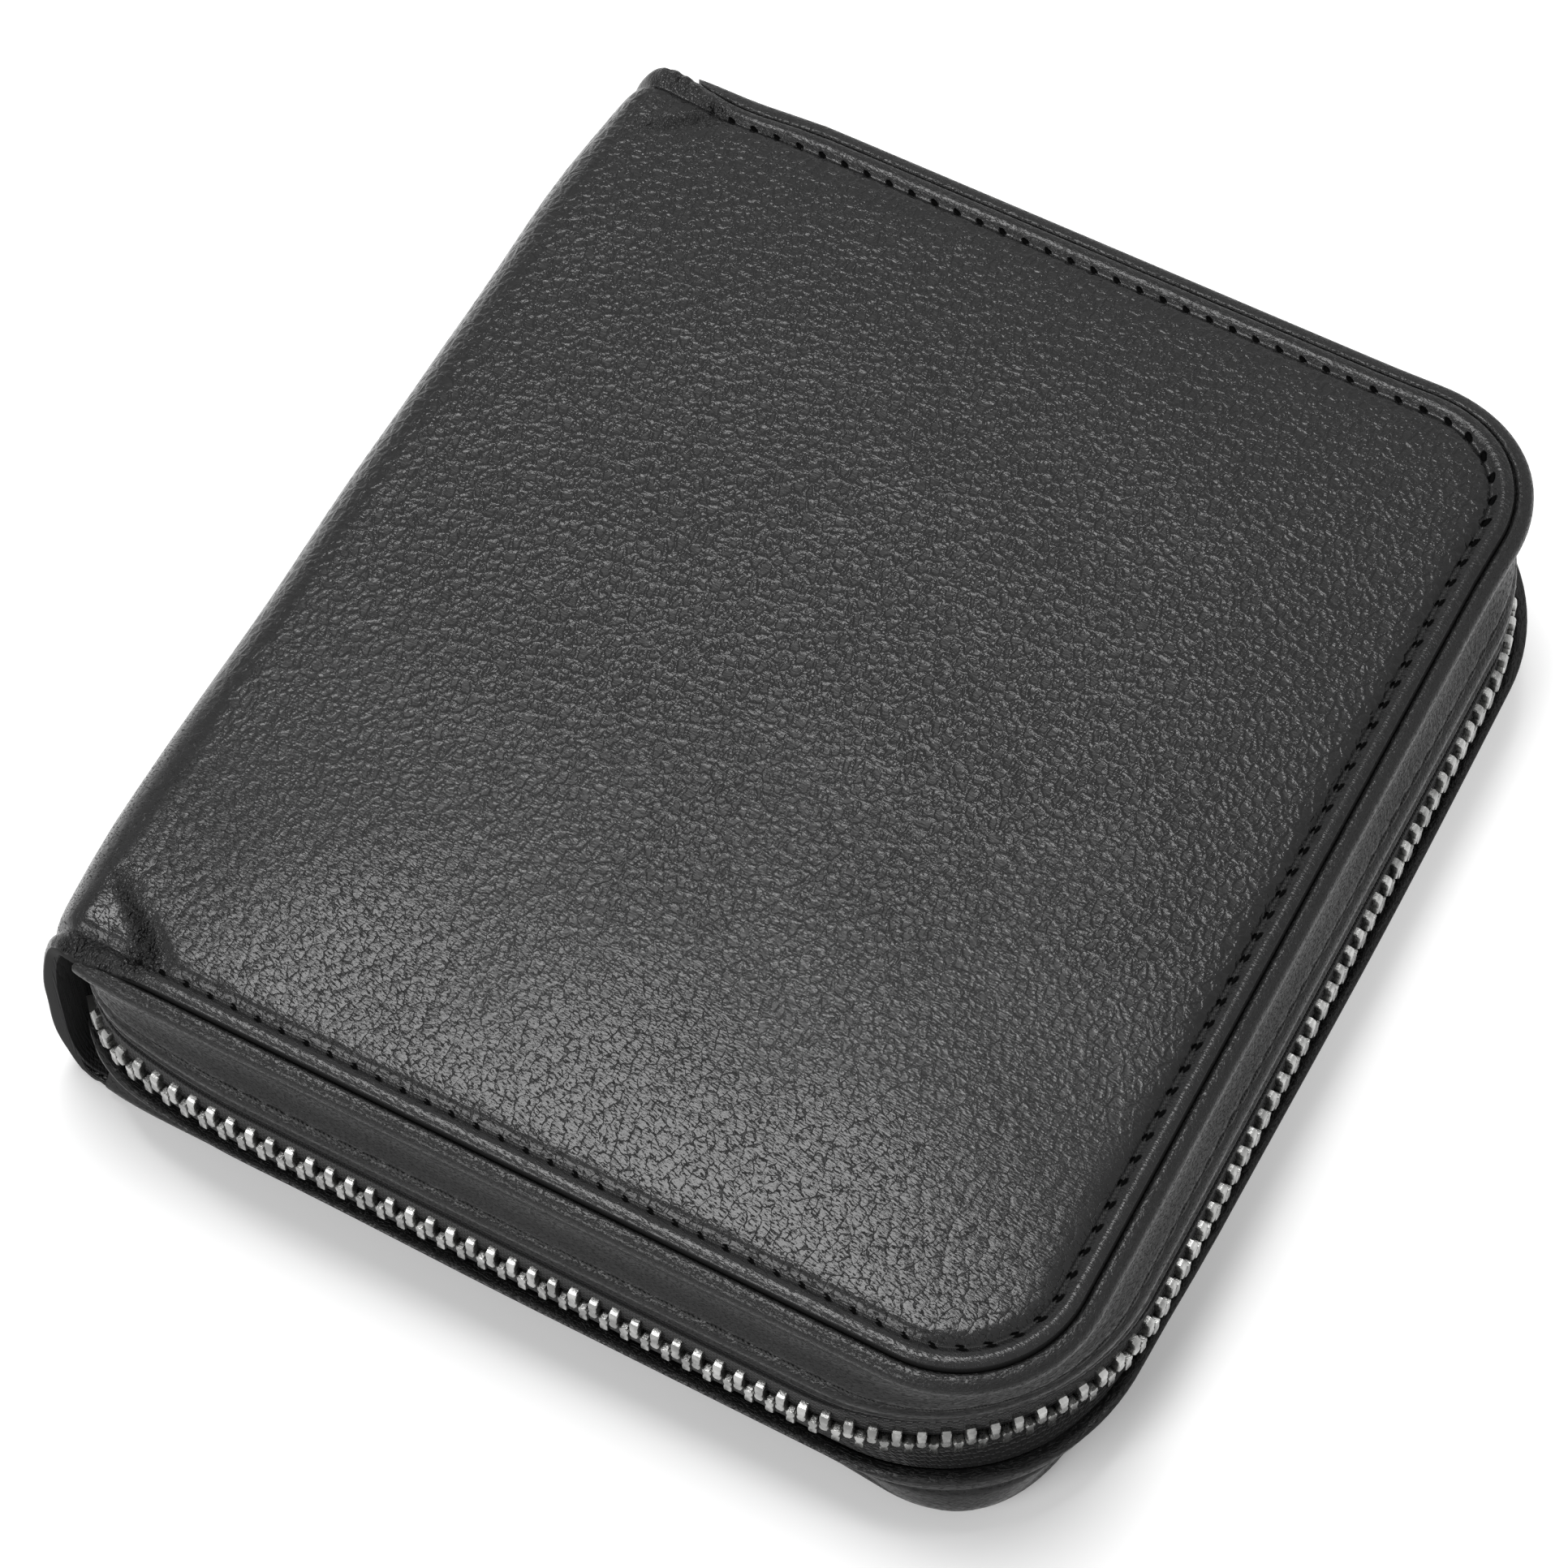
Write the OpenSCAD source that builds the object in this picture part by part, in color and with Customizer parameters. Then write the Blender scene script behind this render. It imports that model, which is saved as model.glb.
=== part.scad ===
// Zip-around coin purse: two stiff leather covers and a soft spine, closed on three sides by
// a leather band and a metal zip. Inside are a zipped coin pocket and a stack of card pockets.
// Lying closed, the bottom cover rests on z = 0. The spine is at -X and runs along Y.

/* [Case] */
// Width of a cover, from its fold line to its free edge
panel_w = 96.2; // [84:0.1:140]
// Length of a cover along the spine
panel_l = 113; // [100:0.5:180]
// Closed thickness of the purse
case_t = 27.5; // [26.5:0.1:40]
// Radius of a cover's two free corners
corner_r = 12.5; // [6:0.1:18]
// Thickness of the leather cover
cover_t = 1.5; // [0.8:0.1:2.2]
// Thickness of the stiffening board
board_t = 0.7; // [0.4:0.1:1.2]
// Thickness of the lining
lining_t = 0.6; // [0.3:0.1:1]
// How far the board and lining stay inside the cover's edge
edge_inset = 2.5; // [2:0.1:5]

/* [Spine] */
// How far the spine bows out past the fold lines
spine_bow = 5.4; // [3.4:0.1:9]
// Leather thickness at the middle of the spine
spine_wall = 2; // [1:0.1:2.2]
// Thickness of the spine's lining
spine_lining_t = 0.5; // [0.3:0.1:0.8]
// Gap at a fold line between cover and spine
fold_gap = 0.2; // [0.1:0.05:0.5]

/* [Band] */
// Thickness of the folded leather band
band_t = 1.4; // [0.8:0.1:1.8]
// Opening between the two folded edges, where the zip shows
band_gap = 8.4; // [8:0.1:12]
// How far the upper folded edge stands out past the cover
flare_top = 3; // [2.6:0.1:6]
// How far the lower folded edge stands out past the cover
flare_bottom = 4.4; // [3.8:0.1:6]
// Corner radius of the upper folded edge
flare_top_r = 22.6; // [16:0.1:32]
// Corner radius of the lower folded edge
flare_bottom_r = 20.8; // [16:0.1:32]
// How much further the surround stands out at the free side
side_extra = 0.6; // [0:0.1:2]
// How far the band's shoulder stands out, just under the cover
shoulder_out = 0.9; // [0.2:0.1:2]
// Height of the band's shoulder
shoulder_h = 1.1; // [0.6:0.1:3]
// How far the band's seam tucks in under the cover's edge
seam_tuck = 0.3; // [0:0.05:1]

/* [Zip] */
// How far the zip's centre line runs outside the cover's edge
chain_out = 2.85; // [2.6:0.05:6]
// Corner radius of the zip's centre line
chain_r = 23.4; // [16:0.1:32]
// Distance between teeth of one row
tooth_pitch = 2.1; // [2.05:0.05:3]
// Width of a tooth along its row
tooth_w = 0.9; // [0.6:0.05:0.95]
// Thickness of a tooth through the tape
tooth_t = 2.3; // [1.6:0.1:2.6]
// Height of a tooth from the middle of the zip to its back
tooth_h = 2.25; // [1.8:0.05:2.4]
// How far a tooth reaches past the middle, between its neighbours
tooth_lap = 0.35; // [0.1:0.05:0.6]
// Thickness of the woven tape
tape_t = 0.6; // [0.4:0.05:0.8]
// Distance of the tape's edge from the middle of the zip
tape_edge = 0.9; // [0.8:0.05:1.3]
// Distance of the tape's hidden edge from the middle of the zip
tape_reach = 8.2; // [6:0.1:9]
// Length of an end stop or top stop along the row
stop_l = 1.8; // [1:0.1:3]

/* [Zip ends] */
// Where the zip starts to turn in at the front, from the fold line
turn_front = 20; // [18:0.1:30]
// Radius of the first, gentle part of the turn at the front
turn_front_r = 69; // [40:1:90]
// Where the zip starts to turn in at the back, from the fold line
turn_back = 12.5; // [11:0.1:20]
// Radius of the first, gentle part of the turn at the back
turn_back_r = 20; // [14:1:24]
// Radius of the second, tight part of a turn
turn_r = 11.9; // [9:0.1:13]
// Angle at which the gentle part ends
turn_mid = 11; // [6:1:16]
// Angle at which the tight part ends
turn_end = 51; // [35:1:55]

/* [Slider] */
// Length of a slider
slider_l = 10.5; // [8:0.1:12]
// Width of a slider at its mouth
slider_mouth_w = 7.6; // [7:0.1:7.8]
// Width of a slider at its tail
slider_tail_w = 6.4; // [6.2:0.1:7]
// Thickness of a slider's two plates
plate_t = 0.9; // [0.6:0.1:1.1]
// Width of the flanges that hold the rows together
flange_w = 0.75; // [0.5:0.05:0.8]
// Length of the post that parts the rows
post_l = 2; // [1.4:0.1:3]
// Width of the post that parts the rows
post_w = 1.5; // [1:0.1:1.6]
// Length of the crown that holds the pull
crown_l = 3.4; // [3:0.1:5]
// Width of the crown that holds the pull
crown_w = 1.7; // [1.2:0.1:2.4]
// Thickness of the crown over the pull's bar
crown_wall = 0.6; // [0.4:0.1:0.9]
// Radius of the pull's bar
bar_r = 0.55; // [0.4:0.05:0.7]
// Distance of the main slider from the fold line when the zip is closed
slider_in = 18.1; // [18:0.1:40]

/* [Pulls] */
// Length of the main pull from its bar
pull_l = 27; // [15:0.5:40]
// Width of the main pull
pull_w = 6; // [5:0.1:8]
// Length of the coin pocket's pull from its bar
coin_pull_l = 10.2; // [7:0.1:10.5]
// Width of the coin pocket's pull
coin_pull_w = 4.6; // [4.2:0.1:6]
// Thickness of a pull
pull_t = 1.3; // [0.9:0.1:1.3]
// Radius of the hole in the main pull's end
eye_r = 1.5; // [1:0.1:2]
// Distance of that hole from the pull's end
eye_edge = 3.2; // [3:0.1:5]

/* [Coin pocket] */
// Height of the coin pocket's side walls
coin_h = 5.75; // [5:0.05:6]
// Thickness of the coin pocket's side walls
coin_wall = 1.2; // [0.8:0.1:2]
// Thickness of the coin pocket's front leather
coin_front_t = 0.8; // [0.5:0.1:1]
// Distance of the coin pocket from a cover's side edges
pocket_side = 5.1; // [5:0.1:12]
// Distance of all pockets from a cover's front edge
pocket_front = 10.5; // [9:0.1:16]
// Distance of the coin pocket from a cover's back edge
coin_back = 8.5; // [8:0.1:12]
// Distance of the coin zip from the coin pocket's back edge
coin_zip_in = 10; // [9.5:0.1:16]
// Opening in the coin pocket's leather, where its zip shows
coin_gap = 8.4; // [8:0.1:10]
// How far the coin zip's tape reaches from its middle
coin_tape_reach = 7; // [6:0.1:8]
// Distance of the coin slider from the coin pocket's side when closed
coin_slider_in = 10; // [9.5:0.1:16]

/* [Card pockets] */
// Number of card pockets
card_n = 4; // [1:1:4]
// Leather thickness of one card pocket
card_t = 0.8; // [0.5:0.05:0.9]
// Step from one card pocket's mouth to the next
card_step = 11; // [8:0.5:13]
// Distance of the last pocket's mouth from the cover's back edge
card_mouth = 26.5; // [24:0.5:40]
// Thickness of the long pocket behind the cards
slip_t = 0.7; // [0.4:0.1:0.9]
// Distance of the long pocket's mouth from the cover's back edge
slip_mouth = 16; // [10:0.5:20]

/* [Fits] */
// Gap between a slider and the teeth
chain_clear = 0.2; // [0.1:0.05:0.3]
// Gap between a flange, tooth or stop and the tape
tape_clear = 0.12; // [0.08:0.01:0.2]
// Gap between the tape and the band it is sewn to
sew_gap = 0.1; // [0.05:0.05:0.2]
// Gap around a pull's bar and beside its crown
bar_clear = 0.15; // [0.1:0.05:0.25]
// Gap between a slider's mouth and the top stops
stop_gap = 0.3; // [0.1:0.1:1]

/* [Hidden] */

$fn = 48;
LEATHER = "#2b2b2c";
BAND = "#232324";
LINING = "#1a1a1b";
CLOTH = "#141415";
BOARD = "#8a7f6c";
NICKEL = "#c9cacc";

// Planes and lines that every piece shares
fold_x = -panel_w / 2;
free_x = panel_w / 2;
mid_z = case_t / 2;
back_y = panel_l / 2;
eps = 0.01;

// Steps along each curved stretch of the surround
turn_n = 6;
corner_n = 14;

// Heights of the band's three edges above or below the middle of the case
fold_h = band_gap / 2;
seam_h = case_t / 2 - cover_t;
shoulder_level = seam_h - shoulder_h;
// Share of the spine-end turn that the band's shoulder follows
shoulder_turn = 0.15;
// Inner end of the band's unturned edge, from the fold line
seam_end = 1;

function mix(a, b, t) = a + (b - a) * t;
function flip(points) = [for (i = [len(points) - 1 : -1 : 0]) points[i]];

// ---- The path round three sides of the case ----

// Point on the turn at a spine end, at heading angle t, for the +Y side
function turn_point(out, start, first_r, t) =
    let (
        y0 = back_y + out,
        ra = first_r + out - chain_out,
        rb = turn_r + out - chain_out,
        shift = ra - rb
    )
    t <= turn_mid
        ? [fold_x + start - ra * sin(t), y0 - ra + ra * cos(t)]
        : [fold_x + start - shift * sin(turn_mid) - rb * sin(t),
           y0 - ra + shift * cos(turn_mid) + rb * cos(t)];

// Heading angles of the stations on a turn, from the spine end outwards
turn_angles = concat(
    [for (i = [0 : turn_n - 1]) mix(turn_end, turn_mid, i / turn_n)],
    [for (i = [0 : turn_n]) mix(turn_mid, 0, i / turn_n)]
);

// One side of the path, from the spine end to the end of its free corner. share is how much
// of the turn this line follows, and extra how far it stands out more at the free side.
function side_path(out, r, share, extra, start, first_r) =
    let (y0 = back_y + out, x1 = free_x + out + extra)
    concat(
        [for (t = turn_angles)
            let (p = turn_point(out, start, first_r, t))
            [max(p.x, mix(fold_x + seam_end, p.x, share)), mix(y0, p.y, share)]],
        [for (i = [0 : corner_n])
            let (t = mix(90, 0, i / corner_n))
            [x1 - r + r * cos(t), y0 - r + r * sin(t)]]
    );

// The whole path: front spine end, front, free side, back, back spine end
function path(out, r, share = 1, extra = side_extra) =
    concat(
        [for (p = side_path(out, r, share, extra, turn_front, turn_front_r)) [p.x, -p.y]],
        flip(side_path(out, r, share, extra, turn_back, turn_back_r))
    );

function lift(points, z) = [for (p = points) [p.x, p.y, z]];

// Strip swept between an outer and an inner list of rails, each rail one point per station
module strip(outer, inner) {
    m = len(outer);
    n = len(outer[0]);
    points = concat(
        [for (rail = outer) for (p = rail) p],
        [for (rail = inner) for (p = rail) p]
    );
    function o(j, i) = j * n + i;
    function k(j, i) = (m + j) * n + i;
    function quad(a, b, c, d) = [[a, b, c], [a, c, d]];
    quads = concat(
        [for (j = [0 : m - 2]) for (i = [0 : n - 2])
            quad(o(j, i), o(j, i + 1), o(j + 1, i + 1), o(j + 1, i))],
        [for (j = [0 : m - 2]) for (i = [0 : n - 2])
            quad(k(j, i), k(j + 1, i), k(j + 1, i + 1), k(j, i + 1))],
        [for (i = [0 : n - 2]) quad(o(0, i), k(0, i), k(0, i + 1), o(0, i + 1))],
        [for (i = [0 : n - 2])
            quad(o(m - 1, i), o(m - 1, i + 1), k(m - 1, i + 1), k(m - 1, i))],
        [for (j = [0 : m - 2]) quad(o(j, 0), o(j + 1, 0), k(j + 1, 0), k(j, 0))],
        [for (j = [0 : m - 2])
            quad(o(j, n - 1), k(j, n - 1), k(j + 1, n - 1), o(j + 1, n - 1))]
    );
    polyhedron(points, [for (q = quads) for (f = q) f]);
}

// ---- The band and the tape behind it ----

// Outer line of the band at height h from the middle: how far out, corner radius, share of
// the turn, extra at the free side
function band_line(h, flare, flare_r) =
    let (f = (h - fold_h) / (shoulder_level - fold_h))
    [mix(flare, shoulder_out, f),
     mix(flare_r, corner_r + shoulder_out, f),
     mix(1, shoulder_turn, f),
     mix(side_extra, 0, f)];

// A rail of the band or of the tape, set back from the band's outer line
function band_rail(h, flare, flare_r, back) =
    let (b = band_line(h, flare, flare_r))
    lift(path(b[0] - back, b[1] - back, b[2], b[3]), h);

function seam_rail(back) =
    lift(path(-seam_tuck - back, corner_r - seam_tuck - back, 0, 0), seam_h);

// Band of the upper half, standing on the middle plane; the lower one is its mirror image
module band(flare, flare_r) {
    strip(
        [seam_rail(0), band_rail(shoulder_level, flare, flare_r, 0),
         band_rail(fold_h, flare, flare_r, 0)],
        [seam_rail(band_t), band_rail(shoulder_level, flare, flare_r, band_t),
         band_rail(fold_h, flare, flare_r, band_t)]
    );
}

// The tape stays flat until it is clear of a slider's inner plate
tape_flat = slider_tail_w / 2 + tape_clear;
tape_back = band_t + sew_gap;

function chain_rail(h, side) =
    lift(path(chain_out + side, chain_r + side), h);

module tape(flare, flare_r) {
    half = tape_t / 2;
    strip(
        [band_rail(tape_reach, flare, flare_r, tape_back),
         band_rail(fold_h, flare, flare_r, tape_back),
         chain_rail(tape_flat, half), chain_rail(tape_edge, half)],
        [band_rail(tape_reach, flare, flare_r, tape_back + tape_t),
         band_rail(fold_h, flare, flare_r, tape_back + tape_t),
         chain_rail(tape_flat, -half), chain_rail(tape_edge, -half)]
    );
}

// ---- The chain ----

chain = path(chain_out, chain_r);
steps = [for (i = [0 : len(chain) - 2]) norm(chain[i + 1] - chain[i])];

function total(list, count, i = 0) = i >= count ? 0 : list[i] + total(list, count, i + 1);

chain_len = total(steps, len(steps));
back_turn_len = chain_len - total(steps, len(steps) - 2 * turn_n);

// Place along the chain of a point at x on its straight back stretch
function chain_at_x(x) = chain_len - back_turn_len - (x - fold_x - turn_back);

// Segment that holds place s, as [index, distance into it]
function segment(s, i = 0) =
    i >= len(steps) - 1 || s <= steps[i] ? [i, s] : segment(s - steps[i], i + 1);

// Puts children on the chain at place s: X along it, Y outwards, Z up from the middle plane
module on_chain(s) {
    seg = segment(s);
    a = chain[seg[0]];
    b = chain[seg[0] + 1];
    d = (b - a) / norm(b - a);
    p = a + d * seg[1];
    translate([p.x, p.y, mid_z])
        rotate([0, 0, atan2(d.y, d.x)])
        mirror([0, 1, 0])
        children();
}

// A tooth clamped on the tape's edge, above the middle plane
module tooth() {
    slot_w = tape_t + 2 * tape_clear;
    difference() {
        translate([-tooth_w / 2, -tooth_t / 2, -tooth_lap])
            cube([tooth_w, tooth_t, tooth_h + tooth_lap]);
        translate([-tooth_w, -slot_w / 2, tape_edge - tape_clear])
            cube([2 * tooth_w, slot_w, tooth_h]);
    }
}

// A plain clamp on the tape's edge, from just off the middle plane, centred on X
module stop_clamp() {
    slot_w = tape_t + 2 * tape_clear;
    difference() {
        translate([-stop_l / 2, -tooth_t / 2, tooth_lap])
            cube([stop_l, tooth_t, tooth_h - tooth_lap]);
        translate([-stop_l, -slot_w / 2, tape_edge - tape_clear])
            cube([2 * stop_l, slot_w, tooth_h]);
    }
}

// Clamp that blocks both rows: it grips the lower tape and reaches up by top, centred on X
module end_clamp(top) {
    slot_w = tape_t + 2 * tape_clear;
    difference() {
        translate([-stop_l / 2, -tooth_t / 2, -tooth_h])
            cube([stop_l, tooth_t, tooth_h + top]);
        for (m = [0, 1])
            mirror([0, 0, m])
                translate([-stop_l, -slot_w / 2, tape_edge - tape_clear])
                cube([2 * stop_l, slot_w, tooth_h]);
    }
}

// The main slider's place along X when the zip is closed
slider_x = fold_x + slider_in;

// The end clamp sits at the very start of the chain, and the rows start half a pitch after it
end_clamp_at = stop_l / 2;
teeth_from = stop_l + tooth_pitch / 2;
post_tail_x = slider_x - slider_l / 2 + post_l;
teeth_to = chain_at_x(post_tail_x) - tooth_w;
teeth_n = floor((teeth_to - teeth_from) / tooth_pitch);
top_stop_at = chain_at_x(slider_x - slider_l / 2 - stop_gap - stop_l / 2);

// One row; shift is the part of a pitch by which the two rows are offset
module teeth_row(shift) {
    for (i = [0 : teeth_n - 1])
        on_chain(teeth_from + (i + shift) * tooth_pitch) tooth();
}

// Mirrors an upper piece to the lower half, about the case's middle plane
module lower_half() {
    translate([0, 0, mid_z]) mirror([0, 0, 1]) translate([0, 0, -mid_z]) children();
}

// ---- Flat pieces ----

// Outline of a cover, or of what lies inside it by inset
module cover_outline(inset) {
    r = corner_r - inset;
    h = back_y - inset;
    x1 = free_x - inset;
    translate([fold_x, -h]) square([x1 - r - fold_x, 2 * h]);
    translate([x1 - r - eps, -h + r]) square([r + eps, 2 * (h - r)]);
    for (s = [-1, 1]) translate([x1 - r, s * (h - r)]) circle(r);
}

module cover_plate() {
    translate([0, 0, case_t - cover_t]) linear_extrude(cover_t) cover_outline(0);
}

module board_plate() {
    intersection() {
        translate([0, 0, case_t - cover_t - board_t])
            linear_extrude(board_t) cover_outline(edge_inset);
        translate([fold_x + edge_inset, -back_y, 0]) cube([panel_w, panel_l, case_t]);
    }
}

inner_top = case_t - cover_t - board_t;

module lining_plate() {
    translate([0, 0, inner_top - lining_t]) linear_extrude(lining_t) cover_outline(edge_inset);
}

// Sheet between two Y lines, as wide as the pockets
pocket_x = panel_w / 2 - pocket_side;
pocket_y0 = -back_y + pocket_front;

module sheet(y0, y1, z, t) {
    translate([-pocket_x, y0, z]) cube([2 * pocket_x, y1 - y0, t]);
}

// ---- Spine ----

// Half ellipse bulging to -X from the fold line, as a closed outline
function half_ellipse(a, b) =
    [for (i = [0 : 32]) let (t = mix(90, 270, i / 32)) [a * cos(t), b * sin(t)]];

// Shell between two half ellipses, cut off at the fold gap
module spine_shell(out_a, out_b, in_a, in_b) {
    translate([fold_x, back_y, mid_z])
        rotate([90, 0, 0])
        linear_extrude(panel_l)
        intersection() {
            difference() {
                polygon(half_ellipse(out_a, out_b));
                polygon(half_ellipse(in_a, in_b));
            }
            translate([-2 * out_a, -out_b]) square([2 * out_a - fold_gap, 2 * out_b]);
        }
}

spine_in_a = spine_bow - spine_wall;
spine_in_b = mid_z - cover_t;

// ---- Sliders and pulls, with X towards the mouth, Y across and Z outwards ----

deck_z = tooth_t / 2 + chain_clear;
bar_z = deck_z + plate_t + pull_t / 2 + chain_clear;

// m and t are a slider's half widths at its mouth and at its tail
module slider_plate(m, t) {
    l = slider_l / 2;
    cut = flange_w;
    linear_extrude(plate_t)
        polygon([[-l, -t + cut], [-l + cut, -t], [l - 2 * cut, -m], [l, -m + 2 * cut],
                 [l, m - 2 * cut], [l - 2 * cut, m], [-l + cut, t], [-l, t - cut]]);
}

// One plate with its two flanges, outer side up
module slider_half(m, t) {
    l = slider_l / 2;
    foot = tape_t / 2 + tape_clear;
    translate([0, 0, deck_z]) slider_plate(m, t);
    for (s = [0, 1])
        mirror([0, s, 0])
            translate([0, 0, foot])
            linear_extrude(deck_z - foot + eps)
            polygon([[-l + flange_w, t], [l - 2 * flange_w, m],
                     [l - 2 * flange_w, m - flange_w], [-l + flange_w, t - flange_w]]);
}

// The inner plate is straight-sided, because the tape folds in behind the band beside it
module slider() {
    slider_half(slider_mouth_w / 2, slider_tail_w / 2);
    mirror([0, 0, 1]) slider_half(slider_tail_w / 2, slider_tail_w / 2);
    translate([slider_l / 2 - post_l, -post_w / 2, -deck_z - eps])
        cube([post_l, post_w, 2 * (deck_z + eps)]);
    difference() {
        translate([-crown_l / 2, -crown_w / 2, deck_z])
            cube([crown_l, crown_w, bar_z + bar_r + bar_clear + crown_wall - deck_z]);
        translate([0, crown_w, bar_z])
            rotate([90, 0, 0]) cylinder(r = bar_r + bar_clear, h = 2 * crown_w);
    }
}

// Yoke, bar and tab; the tab points to -X and lies flat
module pull(l, w, hole_r) {
    reach = norm([crown_l / 2, bar_r + bar_clear + crown_wall]) + bar_clear;
    arm_in = crown_w / 2 + bar_clear;
    translate([0, w / 2, bar_z]) rotate([90, 0, 0]) cylinder(r = bar_r, h = w);
    difference() {
        union() {
            translate([-l + w / 2, -w / 2, bar_z - pull_t / 2]) cube([l - w / 2, w, pull_t]);
            translate([-l + w / 2, 0, bar_z - pull_t / 2]) cylinder(r = w / 2, h = pull_t);
            translate([0, w / 2, bar_z]) rotate([90, 0, 0]) cylinder(r = pull_t / 2, h = w);
        }
        translate([-reach, -arm_in, bar_z - pull_t]) cube([reach + pull_t, 2 * arm_in, 2 * pull_t]);
        if (hole_r > 0)
            translate([-l + eye_edge, 0, bar_z - pull_t]) cylinder(r = hole_r, h = 2 * pull_t);
    }
}

// Puts children on the main zip's back stretch, mouth towards the spine
module on_main_zip() {
    translate([slider_x, back_y + chain_out, mid_z]) rotate([90, 0, 180]) children();
}

// ---- Coin pocket ----

coin_y0 = pocket_y0;
coin_y1 = back_y - coin_back;
coin_zip_y = coin_y1 - coin_zip_in;
coin_floor = cover_t + board_t + lining_t;
coin_top = coin_floor + coin_h;
coin_zip_z = coin_top - tape_t / 2;
coin_slider_x = -pocket_x + coin_slider_in;
coin_tape_x = pocket_x - coin_wall - tape_clear;

module on_coin_zip(x) {
    translate([x, coin_zip_y, coin_zip_z]) children();
}

// Turns an upper zip piece, which stands on the middle plane, flat into the coin zip
module coin_side(s) {
    rotate([s * 90, 0, 0]) children();
}

coin_post_x = coin_slider_x - slider_l / 2 + post_l;
coin_stop_x = coin_slider_x - slider_l / 2 - stop_gap - stop_l / 2;
coin_end_x = coin_tape_x - stop_l;
coin_teeth_to = coin_end_x - stop_l / 2 - tooth_pitch;
coin_teeth_n = floor((coin_teeth_to - coin_post_x - tooth_w) / tooth_pitch);

// ================= Bottom half =================

module cover_bottom() {
    color(LEATHER) lower_half() cover_plate();
}

module stiffener_bottom() {
    color(BOARD) lower_half() board_plate();
}

module lining_bottom() {
    color(LINING) lower_half() lining_plate();
}

module band_bottom() {
    color(BAND) lower_half() translate([0, 0, mid_z]) band(flare_bottom, flare_bottom_r);
}

module zip_tape_bottom() {
    color(CLOTH) lower_half() translate([0, 0, mid_z]) tape(flare_bottom, flare_bottom_r);
}

module zip_teeth_bottom() {
    color(NICKEL) lower_half() teeth_row(0.5);
}

module zip_stop_bottom() {
    color(NICKEL) lower_half() on_chain(top_stop_at) stop_clamp();
}

module zip_end_stop() {
    color(NICKEL) on_chain(end_clamp_at) end_clamp(tooth_lap);
}

module coin_pocket_gusset() {
    color(LINING)
        difference() {
            sheet(coin_y0, coin_y1, coin_floor, coin_h);
            translate([-pocket_x + coin_wall, coin_y0 + coin_wall, coin_floor - 1])
                cube([2 * (pocket_x - coin_wall), coin_y1 - coin_y0 - 2 * coin_wall, coin_h + 2]);
        }
}

module coin_pocket_front() {
    color(LINING) sheet(coin_y0, coin_zip_y - coin_gap / 2, coin_top, coin_front_t);
}

module coin_pocket_strip() {
    color(LINING) sheet(coin_zip_y + coin_gap / 2, coin_y1, coin_top, coin_front_t);
}

module coin_zip_tapes() {
    color(CLOTH)
        for (s = [-1, 1])
            translate([-coin_tape_x, 0, 0])
                on_coin_zip(0)
                mirror([0, s < 0 ? 1 : 0, 0])
                translate([0, tape_edge, -tape_t / 2])
                cube([2 * coin_tape_x, coin_tape_reach - tape_edge, tape_t]);
}

module coin_zip_teeth() {
    color(NICKEL)
        for (s = [0, 1])
            for (i = [0 : coin_teeth_n - 1])
                on_coin_zip(coin_post_x + tooth_w + (i + s / 2) * tooth_pitch)
                    coin_side(s == 0 ? 1 : -1) tooth();
}

module coin_zip_stops() {
    color(NICKEL) {
        for (s = [-1, 1]) on_coin_zip(coin_stop_x) coin_side(s) stop_clamp();
        on_coin_zip(coin_end_x) coin_side(1) end_clamp(tooth_h);
    }
}

// ================= Top half =================

module cover_top() {
    color(LEATHER) cover_plate();
}

module stiffener_top() {
    color(BOARD) board_plate();
}

module lining_top() {
    color(LINING) lining_plate();
}

module band_top() {
    color(BAND) translate([0, 0, mid_z]) band(flare_top, flare_top_r);
}

module zip_tape_top() {
    color(CLOTH) translate([0, 0, mid_z]) tape(flare_top, flare_top_r);
}

module zip_teeth_top() {
    color(NICKEL) teeth_row(0);
}

module zip_stop_top() {
    color(NICKEL) on_chain(top_stop_at) stop_clamp();
}

module slip_pocket() {
    color(LINING) sheet(pocket_y0, back_y - slip_mouth, inner_top - lining_t - slip_t, slip_t);
}

// Card pockets are stacked from the lid inwards, each mouth one step lower than the last
module card_pocket(i) {
    if (i <= card_n)
        color(LINING)
            sheet(pocket_y0, back_y - card_mouth - (i - 1) * card_step,
                  inner_top - lining_t - slip_t - i * card_t, card_t);
}

module card_pocket_1() { card_pocket(1); }
module card_pocket_2() { card_pocket(2); }
module card_pocket_3() { card_pocket(3); }
module card_pocket_4() { card_pocket(4); }

// ================= Spine =================

module cover_spine() {
    color(LEATHER) spine_shell(spine_bow, mid_z, spine_in_a, spine_in_b);
}

module lining_spine() {
    color(CLOTH)
        spine_shell(spine_in_a, spine_in_b, spine_in_a - spine_lining_t, spine_in_b - spine_lining_t);
}

// ================= Sliders and pulls =================

module slider_body() {
    color(NICKEL) on_main_zip() slider();
}

module pull_tab() {
    color(NICKEL) on_main_zip() pull(pull_l, pull_w, eye_r);
}

module coin_slider() {
    color(NICKEL) on_coin_zip(coin_slider_x) rotate([0, 0, 180]) slider();
}

module coin_pull() {
    color(NICKEL) on_coin_zip(coin_slider_x) rotate([0, 0, 180]) pull(coin_pull_l, coin_pull_w, 0);
}

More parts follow.
